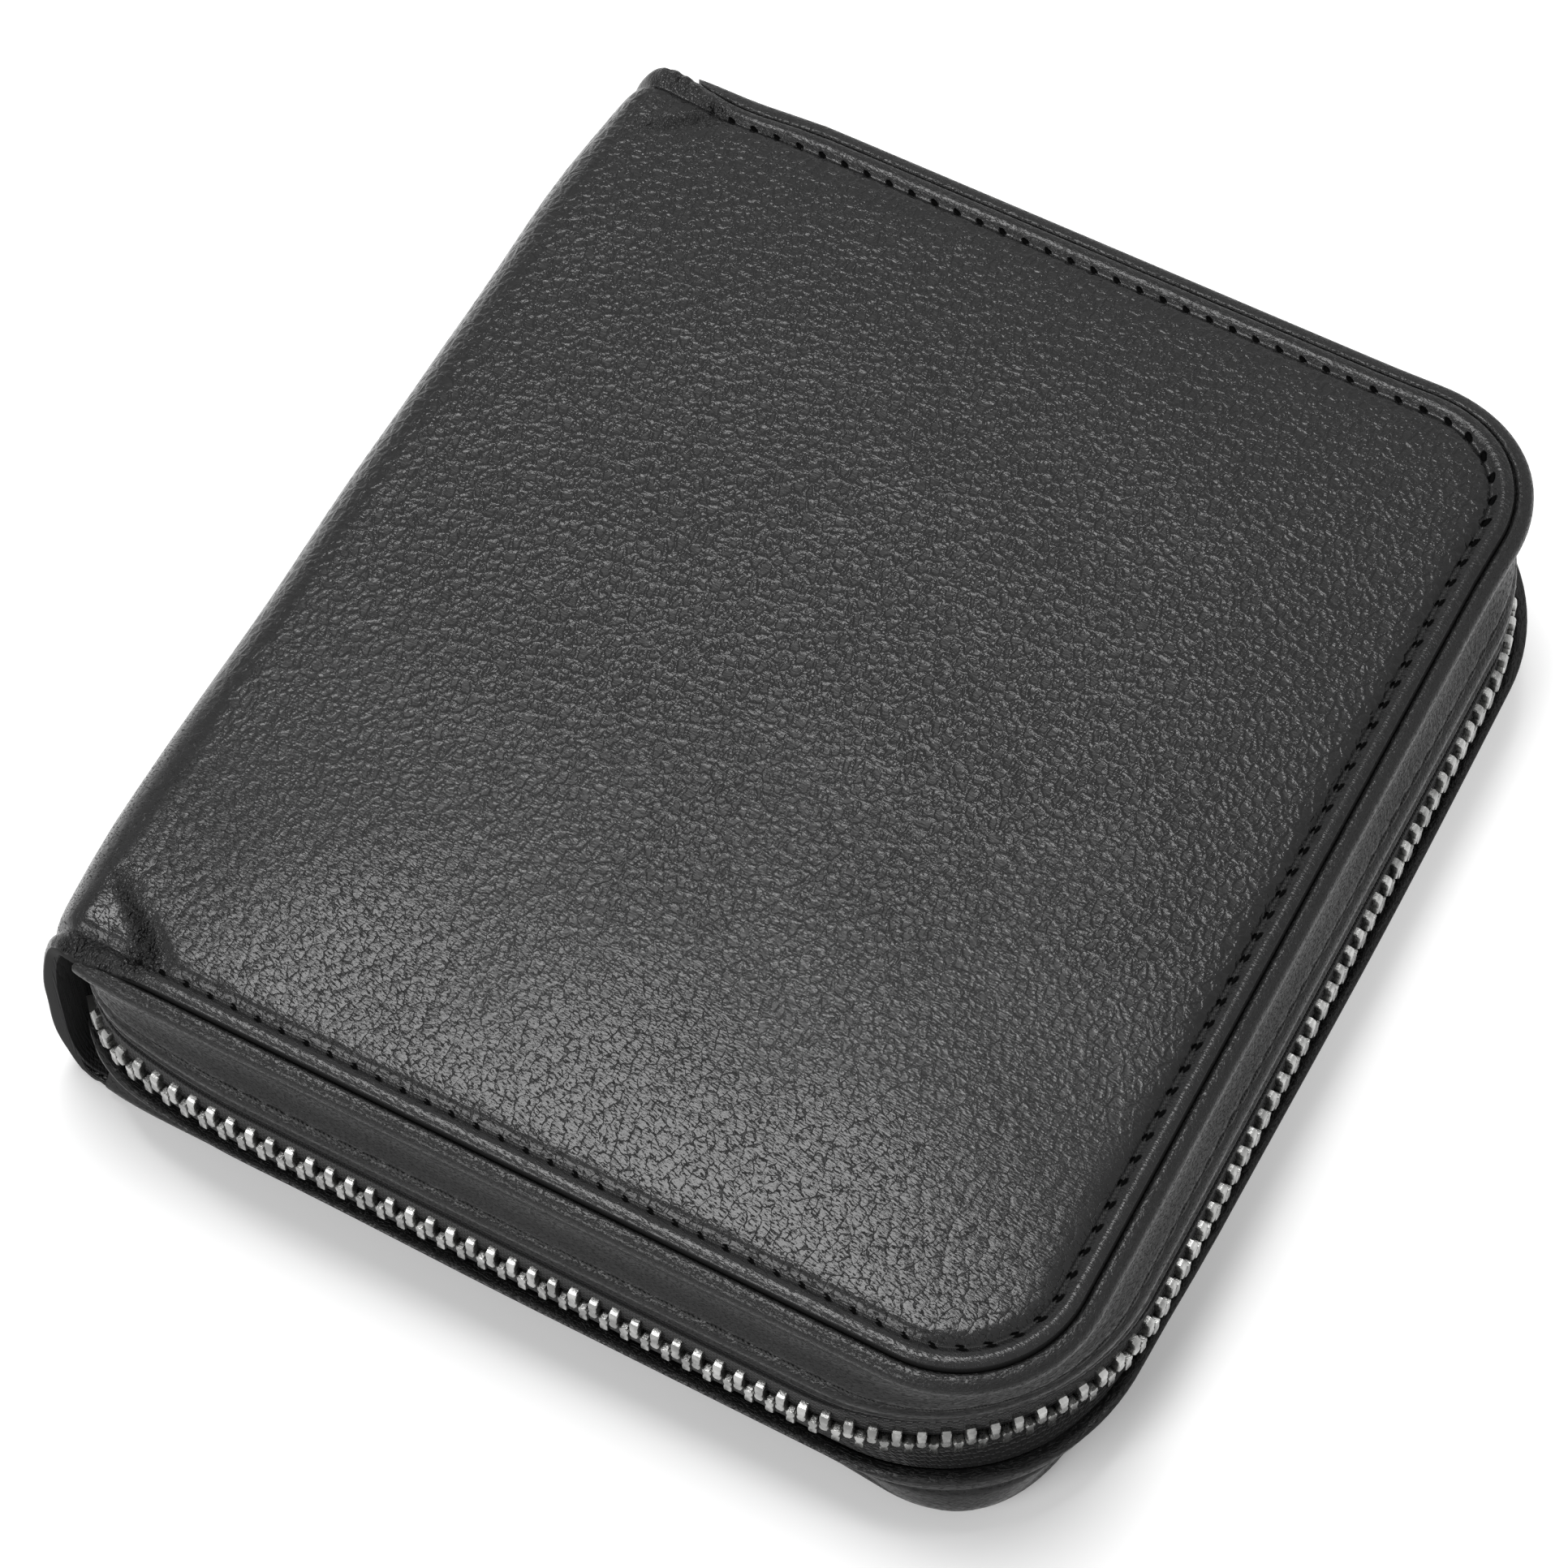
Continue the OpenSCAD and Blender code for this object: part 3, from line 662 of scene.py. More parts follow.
@dataclass(frozen=True)
class PebbledLeather(Finish):
    """Full-grain cover leather: fine netted grain, with bigger and flatter pebbles at the front.

    The covers say by two attributes where a point lies along and in from the rim, and how
    crumpled the leather is.
    """

    pebble: float = 1.15
    crease: float = 0.07
    relief: float = 0.3
    gloss: float = 0.29
    wall: float = 0.4

    def _holes(self, g: Graph, rim: Wire) -> Wire:
        """Returns a mask of the needle holes along the seam."""
        along, inset, sewn = g.parts(rim)
        near = (g.math("FRACT", along / SEAM_PITCH) - 0.5) * SEAM_PITCH
        across = (inset - SEAM_IN) * 1.5 + near * 0.45 + g.noise(rim, 2.5, 1.0) * 0.3
        away = g.math("SQRT", (near * 0.8) ** 2.0 + across ** 2.0)
        away = away + g.span(sewn, 0.5, 1.0, 0.1, 0.0)
        return g.span(away, 0.52, 0.27) * g.span(sewn, 0.0, 0.3)

    def shade(self, g: Graph, effects: Effects, place: Wire) -> dict[str, Value]:
        """Works out the shader's inputs from the grain, the seam and the crumpled corners."""
        uneven = (g.noise(place, 0.05) - 0.5) * 60.0
        front = g.span(g.parts(place)[1] * -1.0 + uneven, 2.0, 48.0)
        grain = g.use(
            effects.grain, g.stretch(place, (1.15, 0.85, 1.0), -14.0),
            Pebble=self.pebble, Crease=self.crease, Wander=1.1, Fray=0.7,
        )
        pores = g.use(effects.pores, g.stretch(place, (0.8, 1.25, 1.0), 25.0), Size=0.23, Amount=0.5)["Mask"]
        ripple = g.noise(g.stretch(place, (1.8, 4.8, 1.0), 12.0), 1.0)
        # raised net of fine creases over most of the hide, flat pebbles at the front
        net = g.span(grain["Edge"], 0.32, 0.02)
        swell = g.noise(place, 0.85, 1.0)
        fine = net * 0.13 + swell * 0.28 + ripple * (net * 0.1 + 0.14)
        flat = grain["Height"] * 0.25 - pores * 0.1 + (ripple * 0.12 + swell * 0.17)

        # smooth puckered strip outside the seam
        rim = g.get("Attribute", "Vector", attribute_name="rim")
        inset = g.parts(rim)[1]
        plain = g.span(inset, 2.3, 3.0)
        hole = self._holes(g, rim)
        pucker = g.noise(g.stretch(rim, (2.4, 0.5, 0.0)), 1.0, 3.0, 0.6)
        gathered = g.blend(g.span(inset, 0.9, 2.0), 0.06, 0.3)
        smooth = pucker * gathered + ripple * 0.16 - pores * 0.1

        # sharp folds in the crumpled corners
        crumpling = g.get("Attribute", "Fac", attribute_name="crumpling")
        fold = g.noise(g.stretch(place, (1.9, 1.3, 1.0), 20.0), 1.0)
        fold = g.math("ABSOLUTE", (fold - 0.5) * 4.0)
        height = g.blend(plain, smooth, g.blend(front, fine, flat)) - hole * 1.6 + fold * crumpling * 1.8
        height = height * g.span(inset, self.wall - 0.1, self.wall + 0.1)

        # painted shade in the pits, creases, pores, needle holes and folds and on the cut edge's wall;
        # painted highlight on the paler raised net at the back, and paler ripple crests with random pebble
        # tone at the front
        pit_shade = g.span(net, 0.3, 0.0) * g.blend(front, 0.35, 0.0)
        crease = pit_shade | grain["Crease"] * g.blend(front, 0.0, 0.5)
        painted_shade = (crease | pores * front) * g.blend(plain, 0.5, 1.0)
        # painted shade in the folds where the leather is crumpled
        painted_shade = painted_shade | hole | crumpling * g.span(fold, 0.22, 0.02, 0.0, 0.7)
        # painted shade darkens the cut edge's wall, like occlusion
        painted_shade = painted_shade | g.span(inset, self.wall, self.wall - 0.06)
        # painted highlight: the raised net and the ripple's crests are paler, mixed with random tone per
        # pebble
        lift = g.blend(front, net * 0.18, ripple * 0.32 + grain["Shade"] * 0.14)
        return {
            "Base Color": g.tint(painted_shade, g.tint(lift, self.tone(), self.tone(9.0)), BLACK),
            "Roughness": painted_shade * 0.6 + self.roughness,
            "Specular IOR Level": g.span(hole, 0.0, 0.8, self.gloss, 0.02),
            "Normal": g.bump(height, self.relief),
        }


@dataclass(frozen=True)
class SmoothLeather(Finish):
    """Thin calf leather of the band and pockets: fine pores and soft creases."""

    relief: float = 0.14
    pore: float = 0.17
    gloss: float = 0.36

    def shade(self, g: Graph, effects: Effects, place: Wire) -> dict[str, Value]:
        """Works out the shader's inputs from small grain, pores and wear."""
        grain = g.use(effects.grain, place, Pebble=0.42, Crease=0.3, Wander=0.3, Fray=0.1)
        pores = g.use(effects.pores, place, Size=self.pore, Amount=0.62)["Mask"]
        wear = g.use(effects.wear, place, Patch=14.0)["Handled"]
        wrinkle = g.noise(g.stretch(place, (1.0, 1.0, 0.3)), 1.3)
        # painted shade: the pores are darkened as if shaded in their pits
        painted_shade = pores * 0.9
        return {
            "Base Color": g.tint(painted_shade, g.tint(wear, self.tone(), self.tone(1.35)), BLACK),
            "Roughness": self.roughness - wear * 0.08 + painted_shade * 0.4,
            "Specular IOR Level": self.gloss,
            "Normal": g.bump(grain["Height"] * 0.12 + wrinkle * 0.7 - pores * 0.3, self.relief),
        }


@dataclass(frozen=True)
class Cloth(Finish):
    """Woven cloth of the zip's tape and of the linings."""

    yarn: float = 0.35
    slant: float = 0.5
    relief: float = 0.12
    sheen: float = 0.15

    def shade(self, g: Graph, effects: Effects, place: Wire) -> dict[str, Value]:
        """Works out the shader's inputs from the weave and its wear."""
        weave = g.use(effects.weave, place, Yarn=self.yarn, Slant=self.slant)
        wear = g.use(effects.wear, place, Patch=18.0)["Handled"]
        lit = g.tint(weave["Shade"], self.tone(0.35), self.tone(1.5))
        return {
            "Base Color": g.tint(wear * 0.2, lit, self.tone()),
            "Roughness": self.roughness + weave["Height"] * -0.08,
            "Specular IOR Level": 0.1,
            "Sheen Weight": self.sheen,
            "Normal": g.bump(weave["Height"], self.relief),
        }


@dataclass(frozen=True)
class PlatedMetal(Finish):
    """Nickel-plated brass, with fine drawing marks and dull low spots."""

    marks: float = 5.0
    scratch: float = 0.02
    patch: float = 6.0
    dullness: float = 0.6

    def shade(self, g: Graph, effects: Effects, place: Wire) -> dict[str, Value]:
        """Works out the shader's inputs from the drawing marks and the dull spots."""
        wear = g.use(effects.wear, place, Patch=self.patch)["Handled"]
        drawn = g.noise(g.stretch(place, (self.marks, self.marks, 0.6)), 1.0, 3.0, 0.6)
        return {
            "Base Color": g.tint(wear, self.tone(self.dullness), self.tone()),
            "Roughness": self.roughness + drawn * 0.16,
            "Metallic": 1.0,
            "Normal": g.bump(drawn, self.scratch),
        }


@dataclass(frozen=True)
class FibreBoard(Finish):
    """Pressed grey-brown board that stiffens the covers."""

    def shade(self, g: Graph, effects: Effects, place: Wire) -> dict[str, Value]:
        """Works out the shader's inputs from the board's fibres."""
        fibre = g.noise(g.stretch(place, (0.4, 2.5, 1.0), 30.0), 1.0, 5.0, 0.7)
        wear = g.use(effects.wear, place, Patch=20.0)["Handled"]
        return {
            "Base Color": g.tint(fibre, self.tone(0.6), self.tone()),
            "Roughness": self.roughness + wear * 0.1,
            "Normal": g.bump(fibre, 0.1),
        }


@dataclass(frozen=True)
class Thread(Finish):
    """Twisted polyester sewing thread."""

    def shade(self, g: Graph, effects: Effects, place: Wire) -> dict[str, Value]:
        """Works out the shader's inputs from the twist and its fuzz."""
        inputs = {"Vector": place, "Scale": 1.4, "Distortion": 1.0, "Detail": 1.0}
        twist = g.get("TexWave", 1, inputs, bands_direction="DIAGONAL")
        fuzz = g.noise(place, 2.5, 3.0, 0.6)
        return {
            "Base Color": g.tint(fuzz, self.tone(0.4), self.tone()),
            "Roughness": g.span(fuzz, 0.2, 0.8, self.roughness - 0.1, self.roughness + 0.1),
            "Normal": g.bump(twist, 0.08),
        }


Finishes = dict[str, bpy.types.Material]


def build_finishes() -> Finishes:
    """Builds every material of the purse, with the effects that they share, and returns them by name."""
    flat = Pattern.FLAT
    finishes = {
        "cover": PebbledLeather("pebbled cover leather", (0.003, 0.003, 0.0031), 0.21, flat),
        "band": SmoothLeather("smooth band leather", (0.005, 0.005, 0.0051), 0.34, flat, gloss=0.3),
        "pocket": SmoothLeather("pocket leather", (0.014, 0.014, 0.0142), 0.5, pore=0.22),
        "tape": Cloth("woven zip tape", (0.012, 0.012, 0.0122), 0.85, flat, yarn=0.34, slant=0.0),
        "lining": Cloth("lining cloth", (0.012, 0.012, 0.0125), 0.9, yarn=0.4, sheen=0.05),
        "metal": PlatedMetal("nickel plate", (0.42, 0.42, 0.41), 0.24, dullness=0.8),
        "teeth": PlatedMetal("drawn nickel teeth", (0.5, 0.5, 0.49), 0.2, patch=2.4, dullness=0.4),
        "board": FibreBoard("fibre board", (0.21, 0.17, 0.12), 0.85),
        "thread": Thread("black thread", (0.009, 0.009, 0.009), 0.6),
    }
    effects = Effects()
    return {key: finish.build(effects) for key, finish in finishes.items()}


# ---------------------------------------------------------------- the case's lines


@dataclass(frozen=True)
class CaseLines:
    """Planes and curves that every piece shares, read from the frame, in millimetres."""

    fold_x: float
    free_x: float
    back_y: float
    case_t: float
    cover_t: float
    spine_bow: float
    corner_r: float = 12.5
    spine_wall: float = 2.0
    fold_h: float = 4.2
    shoulder_h: float = 11.15
    flare_top: float = 3.0
    flare_bottom: float = 4.4
    flare_top_r: float = 22.6
    flare_bottom_r: float = 20.8
    side_extra: float = 0.6
    shoulder_out: float = 0.9
    shoulder_turn: float = 0.15
    chain_out: float = 2.85
    chain_r: float = 23.4
    turn_front: float = 20.0
    turn_front_r: float = 69.0
    turn_back: float = 12.5
    turn_back_r: float = 20.0
    turn_r: float = 11.9
    turn_mid: float = 11.0
    turn_end: float = 51.0
    bow_upper: float = 2.2
    bow_lower: float = 3.2

    @classmethod
    def from_frame(cls) -> "CaseLines":
        """Reads the places that the frame gives."""
        low, high = node_box("cover_top")
        spine_low = node_box("cover_spine")[0]
        return cls(
            fold_x=low.x, free_x=high.x, back_y=high.y, case_t=high.z,
            cover_t=high.z - low.z, spine_bow=low.x - spine_low.x,
        )

    @property
    def mid_z(self) -> float:
        """Height of the middle plane."""
        return self.case_t / 2

    def bow(self, half: Half, a: float, b: float, share: float) -> tuple[float, float]:
        """Returns a point of half the spine's bow.

        Args:
            half: The half, as the lower one is fuller.
            a: How far the bow stands out from the fold line.
            b: Its height over the middle plane.
            share: 0 at the fold and 1 at the middle plane.

        Returns:
            How far the point stands out and its height over the middle plane.
        """
        power = 2 / (self.bow_upper if half is Half.UPPER else self.bow_lower)
        t = share * math.pi / 2
        return a * math.sin(t) ** power, b * max(math.cos(t), 0.0) ** power

    def bow_share(self, y: float, h: float, half: Half) -> float:
        """Returns how much of the full bow the spine keeps at y, at a height over its middle."""
        loss = mix(0.04, 0.12 if half is Half.UPPER else -0.04, ease(h / 8))
        return 1 - loss * bell(self.back_y - abs(y), 16)

    def stray(self, x: float, y: float, h: float, half: Half) -> Vector:
        """Returns how the hand-sewn edge strays from its true line.

        Args:
            x: Place across the case.
            y: Place along the spine.
            h: Height over the middle plane.
            half: The half that the leather belongs to.

        Returns:
            The move in millimetres.
        """
        if half is Half.LOWER:
            near = math.hypot(x - self.free_x + 4, y + self.back_y - 1)
            sag = 2.9 * bell(near, 17) * bell(h - 9.3, 4.6)
            side = ease((x - self.free_x + 6) / 5)
            across = side * (0.45 * bell(y - 12, 48) - 0.4 * bell(y + 41, 16))
            along = 0.35 * bell(x + 24, 26) * bell(y + self.back_y, 12)
            return Vector((0.3 * sag + across, along - 0.95 * sag, 0))
        corner = math.hypot(x - self.free_x + 1, y - self.back_y + 1)
        pull = 0.85 * bell(corner, 18)
        pinch = 0.7 * bell(x - self.fold_x - 9, 9) * bell(self.back_y - y, 5)
        eased = 0.1 * ease((y - 25) / 25)
        return Vector((pull * 0.8, pull * 0.6 - pinch + eased, 0))

    def turn_point(self, out: float, start: float, first_r: float, degrees: float) -> tuple[float, float]:
        """Returns a point of the inward turn at a spine end, on the +Y side."""
        y0 = self.back_y + out
        ra = first_r + out - self.chain_out
        rb = self.turn_r + out - self.chain_out
        t = math.radians(degrees)
        if degrees <= self.turn_mid:
            return self.fold_x + start - ra * math.sin(t), y0 - ra + ra * math.cos(t)
        m = math.radians(self.turn_mid)
        x = self.fold_x + start - (ra - rb) * math.sin(m) - rb * math.sin(t)
        return x, y0 - ra + (ra - rb) * math.cos(m) + rb * math.cos(t)

    def side(self, out: float, r: float, share: float, extra: float, start: float, first_r: float) -> Line:
        """Returns one side of the surround, from the spine end round its free corner."""
        tight, wide = TURN_STEPS
        turns = [mix(self.turn_end, self.turn_mid, i / tight) for i in range(tight)]
        turns += [mix(self.turn_mid, 0, i / wide) for i in range(wide + 1)]
        y0, x1 = self.back_y + out, self.free_x + out + extra
        points = []
        for t in turns:
            x, y = self.turn_point(out, start, first_r, t)
            points.append((max(x, mix(self.fold_x + 1, x, share)), mix(y0, y, share)))
        points += [(x, y0) for x in between(points[-1][0], x1 - r, 16)]
        return points + arc(x1 - r, y0 - r, r, 90, 0)

    def path(self, out: float, r: float, share: float = 1.0, extra: Optional[float] = None) -> Line:
        """Returns a line round three sides of the case, from the front spine end to the back one.

        Args:
            out: How far it runs outside the cover's edge.
            r: Radius of its free corners.
            share: How much of the turns at the spine ends it follows.
            extra: How much further out it runs at the free side.

        Returns:
            Its points, the same number for every line.
        """
        more = self.side_extra if extra is None else extra
        front = [(x, -y) for x, y in self.side(out, r, share, more, self.turn_front, self.turn_front_r)]
        back = self.side(out, r, share, more, self.turn_back, self.turn_back_r)[::-1]
        link = zip(*(between(front[-1][k], back[0][k], 16) for k in range(2)))
        return [*front, *link, *back]

    def band_line(self, h: float, half: Half, out: float = 0.0) -> Line:
        """Returns the band's own line at a height h from the middle plane, moved outwards by out."""
        upper = half is Half.UPPER
        flare = self.flare_top if upper else self.flare_bottom
        flare_r = self.flare_top_r if upper else self.flare_bottom_r
        f = (h - self.fold_h) / (self.shoulder_h - self.fold_h)
        return self.path(
            mix(flare, self.shoulder_out, f) + out,
            mix(flare_r, self.corner_r + self.shoulder_out, f) + out,
            mix(1, self.shoulder_turn, f),
            mix(self.side_extra, 0, f),
        )

    def raise_line(self, line: Line, h: float, half: Half) -> list[Vector]:
        """Lifts a flat line to height h from the middle plane, on that half's side."""
        return [Vector((x, y, self.mid_z + half.up * h)) for x, y in line]


@dataclass
class HalfPart:
    """A sub-assembly of one half: it knows the case's lines, the finishes and its half."""

    lines: CaseLines
    finishes: Finishes
    half: Half

    def add(
        self, bm: bmesh.types.BMesh, name: str, finish: str,
        node: str = "", slot: str = "", sharp: float = 50.0,
    ) -> bpy.types.Object:
        """Makes a piece that rides on this half, named after it like the CAD node it stands in for.

        Args:
            bm: The mesh, in millimetres. It is freed.
            name: Name of the piece, without its half.
            finish: Name of its finish.
            node: The CAD node that it stands in for, without its half, if any.
            slot: Its slot, if any. It is not used.
            sharp: Edges that turn by more than this many degrees look sharp.

        Returns:
            The new object.
        """
        half = self.half
        owner = f"{node}_{half.node_word}" if node else ""
        return add_piece(bm, f"{name}_{half.value}", self.finishes[finish], half.body, owner, sharp)


# ---------------------------------------------------------------- outer leather


@dataclass
class OuterCover(HalfPart):
    """One cover with its half of the spine: a single sheet, rimmed and bent over the fold."""

    rim_steps: tuple[tuple[float, float], ...] = (
        (0.06, 0.2), (0.1, 0.13), (0.2, 0.09), (0.25, 0.07), (0.25, 0.04), (0.2, -0.01), (0.25, -0.07),
        (0.3, -0.17), (0.3, -0.2), (0.15, -0.08), (0.12, -0.02), (0.15, 0.12), (0.25, 0.22), (0.4, 0.2),
        (0.7, 0.1), (1.2, 0.04),
    )
    edge_start: float = 0.7
    edge_in: float = 0.3
    crown: float = 0.92
    trench: float = 0.66
    seam_start: float = 7.0
    needle_gap: float = 0.1
    flats_apart: float = 230.0
    panel_end: tuple[float, float] = (3.5, 0.5)
    spine_end: tuple[float, float] = (-4.0, 5.5)
    steps: int = 120

    def __post_init__(self) -> None:
        """Works out the bow and the seam."""
        n = self.lines
        bow = [n.bow(self.half, n.spine_bow, n.mid_z, i / self.steps) for i in range(self.steps + 1)]
        self.bow = Route(bow)
        self.blank_end = n.fold_x - self.bow.length
        self.seam_r = n.corner_r - SEAM_IN
        self.seam_quarter = self.seam_r * math.pi / 2
        self.seam_front = n.free_x - n.corner_r - n.fold_x
        self.seam_side = 2 * (n.back_y - n.corner_r)
        self.seam_length = 2 * self.seam_front + 2 * self.seam_quarter + self.seam_side

    def _on_spine(self, length: float, depth: float) -> tuple[float, float]:
        """Finds where leather past the fold lies on the spine.

        Args:
            length: Length of leather from the fold line.
            depth: Depth under the outer skin.

        Returns:
            How far it stands out from the fold line and its height over the middle plane.
        """
        line, last = self.bow.points, self.steps
        i, share = self.bow.find(length)
        x, h = (mix(line[i - 1][k], line[i][k], share) for k in range(2))
        before, after = line[max(i - 3, 0)], line[min(i + 2, last)]
        dx, dh = after[0] - before[0], after[1] - before[1]
        if i > last - 3:
            dx *= 1 - ease((i - 1 + share - last + 3) / 3)
        size = math.hypot(dx, dh)
        deep = depth * mix(1, self.lines.spine_wall / self.lines.cover_t, ease(length / 4))
        return x + deep * dh / size, h - deep * dx / size

    def _rim_place(self, u: float, y: float) -> tuple[float, float]:
        """Length along the seam and distance in from the edge, of a place on the blank."""
        n = self.lines
        r, front, quarter = n.corner_r, self.seam_front, self.seam_quarter
        qx, qy = n.free_x - u, n.back_y - abs(y)
        if qx < r and qy < r:
            turned = math.atan2(r - qx, r - qy) * self.seam_r
            s = front + (turned if y < 0 else 2 * quarter + self.seam_side - turned)
            return s, r - math.hypot(r - qx, r - qy)
        if qy < qx:
            return (u - n.fold_x if y < 0 else self.seam_length - (u - n.fold_x)), qy
        return front + quarter + (y + n.back_y - r), qx

    def _blank(self) -> bmesh.types.BMesh:
        """Cuts the blank, gives it its thickness, its rim and enough cuts to bend.

        It is cut longer than the spine first, so that no rim is left at the spine's middle.

        Returns:
            The flat blank, its underside at z = 0.
        """
        n = self.lines
        end = self.blank_end
        free_x, back_y, r = (v - self.edge_in for v in (n.free_x, n.back_y, n.corner_r))
        outline = [(end - 6, -back_y), *arc(free_x - r, -back_y + r, r, -90, 0)]
        outline += [*arc(free_x - r, back_y - r, r, 0, 90), (end - 6, back_y)]
        bm = bmesh.new()
        thicken(bm, outline, self.edge_start, self.rim_steps)
        geom = bm.verts[:] + bm.edges[:] + bm.faces[:]
        bmesh.ops.bisect_plane(
            bm, geom=geom, dist=0.0005, plane_co=(end, 0, 0), plane_no=(-1, 0, 0), clear_outer=True
        )
        bmesh.ops.holes_fill(bm, edges=[e for e in bm.edges if e.is_boundary])
        cut_grid(bm, 0, [*between(end, n.fold_x, 20), n.fold_x])
        # closer cuts where the panel begins to bend, and closest where its corners are crumpled
        cut_grid(bm, 0, [n.fold_x + 0.6 + 1.2 * i for i in range(9)])
        cut_grid(bm, 0, between(n.fold_x, n.free_x, 26))
        cut_grid(bm, 1, between(-n.back_y, n.back_y, 32))

        def in_corner(p: Vector) -> bool:
            """Whether a face lies where the leather is crumpled at the fold."""
            return abs(p.x - n.fold_x - 2) < 9 and abs(p.y) > n.back_y - 11 and p.z > 0.2

        cut_grid(bm, 0, [n.fold_x - 7 + 0.36 * i for i in range(50)], in_corner)
        for side in (-1, 1):
            cut_grid(bm, 1, [side * (n.back_y - 0.6 - 0.42 * i) for i in range(25)], in_corner)
        return bm

    def _crumple(self, u: float, y: float) -> float:
        """Returns how crumpled the leather is, from 0 to 1, from pulling round the fold's corner."""
        n = self.lines
        over, qy = u - n.fold_x, n.back_y - abs(y)
        valley = bell(over - mix(6.5, 1.0, ease((qy - 3) / 6)), 2.6) * bell(qy - 4.5, 6.5)
        roll = bell(over - 1.5, 5.5) * bell(qy - 0.8, 2.4)
        return min(valley + 0.7 * roll, 1.0) * (1.0 if y < 0 else 0.6)

    def _relax(self, u: float, y: float, top: float) -> Vector:
        """Returns how the worn leather strays from its flat blank.

        Args:
            u: Place across the blank.
            y: Place along the spine.
            top: 1 on the outer skin and 0 on the underside.

        Returns:
            The move in the blank's own directions.
        """
        n = self.lines
        qx, qy = n.free_x - u, n.back_y - abs(y)
        rise_x, rise_y = (1 - min(max((26 - q) / 24, 0), 1) ** 2 for q in (qx, qy))
        move = n.stray(u, y, n.mid_z, self.half) if u > n.fold_x else Vector()
        fold_rise = 1 - 0.4 * min(max((20 - u + n.fold_x) / 20, 0), 1) ** 2
        crown = self.crown if self.half is Half.UPPER else 0.1
        move.z += crown * rise_x * rise_y * fold_rise + 0.1 * wave(u, y, 3, 16) * ease(min(qx, qy) / 6)
        # pulled corner at the fold: an ear at its tip, a droop, and a hump beside a valley
        over = u - n.fold_x
        side, amount = (-1, 1.0) if y < 0 else (1, 0.6)
        ear = bell(over - 1.2, 7.5) * bell(qy, 3.0)
        droop = bell(over - 3.4, 5.0) * bell(qy + 0.6, 1.8)
        valley = bell(over - mix(7.5, 1.2, ease((qy - 3) / 6)), 2.4) * bell(qy - 4.6, 5.4)
        hump = bell(over + 0.5, 3.6) * bell(qy - 4.2, 4.5)
        move.y += side * amount * 0.7 * ear
        move.z += amount * (0.3 * ear + 0.25 * hump - 0.85 * droop - 0.42 * valley * top)
        # small folds where it is crumpled, and ribs between the stitches
        folds = 0.3 * wave(u * 1.6, y * 0.8, 7, 1.5) + 0.16 * wave(u, y, 11, 0.8)
        move.z += amount * self._crumple(u, y) * folds * (0.3 + 0.7 * top)
        ribs = math.sin(u * 4.2 + 2.2 * wave(u, y, 5, 3)) * 0.16
        move.z += ribs * bell(qy - 0.8, 1.6) * bell(over - 2.2, 4.5) * top
        return move

    def _bent(self, p: Vector) -> Vector:
        """Returns the place on the purse of a point on the blank."""
        n = self.lines
        if p.x >= n.fold_x:
            return Vector((p.x, p.y, n.mid_z + self.half.up * (n.mid_z - n.cover_t + p.z)))
        out, h = self._on_spine(n.fold_x - p.x, n.cover_t - p.z)
        x = n.fold_x - out * n.bow_share(p.y, h, self.half)
        return Vector((x, p.y, n.mid_z + self.half.up * max(h, 0.0)))

    def build(self) -> None:
        """Builds the leather and its row of stitches."""
        n = self.lines
        bm = self._blank()
        rim = bm.verts.layers.float_vector.new("rim")
        crumpling = bm.verts.layers.float.new("crumpling")
        for v in bm.verts:
            s, inset = self._rim_place(v.co.x, v.co.y)
            sewn = ease((v.co.x - n.fold_x - 5) / 3) if v.co.z > 0.3 else 0.0
            v[rim] = (s, inset, sewn * mix(0.5, 1.0, ease((v.co.x - n.free_x + 14) / 9)))
            v[crumpling] = self._crumple(v.co.x, v.co.y)
        layer = bm.loops.layers.uv.verify()
        shift = 0 if self.half is Half.UPPER else self.flats_apart
        for loop in (loop for face in bm.faces for loop in face.loops):
            loop[layer].uv = ((loop.vert.co.x + shift) / UV_SPAN, loop.vert.co.y / UV_SPAN)
        for v in bm.verts:
            move = self._relax(v.co.x, v.co.y, ease((v.co.z - 0.1) / 0.9))
            move.z *= mix(0.4, 1, ease((v.co.x - self.blank_end) / 5))
            v.co = self._bent(v.co + move)
        tidy_mesh(bm)
        cover = make_piece(bm, f"outer_cover_{self.half.value}", self.finishes["cover"], sharp=70)

        def bend_end(x: float, deep: float) -> tuple[float, float, float]:
            """Place in metres, x past the fold line and so deep under the cover's face."""
            return (n.fold_x + x) * MM, 0, (n.mid_z + self.half.up * (n.mid_z - deep)) * MM

        panel_end, spine_end = bend_end(*self.panel_end), bend_end(*self.spine_end)
        if self.half is Half.LOWER:
            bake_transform(cover)
            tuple(panel_end)
            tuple(spine_end)
        else:
            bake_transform(cover)
            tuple(spine_end)
            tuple(panel_end)
        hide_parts(f"cover_{self.half.node_word}", "cover_spine")
        self._sew()

    def _seam_place(self, s: float) -> Vector:
        """Returns the place on the seam at a length s from its front end at the fold."""
        if s > self.seam_length / 2:
            p = self._seam_place(self.seam_length - s)
            return Vector((p.x, -p.y, p.z))
        n, r, front = self.lines, self.seam_r, self.seam_front
        x, y = n.free_x - SEAM_IN, n.back_y - SEAM_IN
        if s < front:
            p = Vector((n.fold_x + s, -y, 0))
        elif s < front + self.seam_quarter:
            t = (s - front) / r
            p = Vector((x - r + r * math.sin(t), -y + r - r * math.cos(t), 0))
        else:
            p = Vector((x, -y + r + s - front - self.seam_quarter, 0))
        move = self._relax(p.x, p.y, 1.0)
        height = n.mid_z - n.cover_t + self.trench + move.z
        return Vector((p.x + move.x, p.y + move.y, n.mid_z + self.half.up * height))

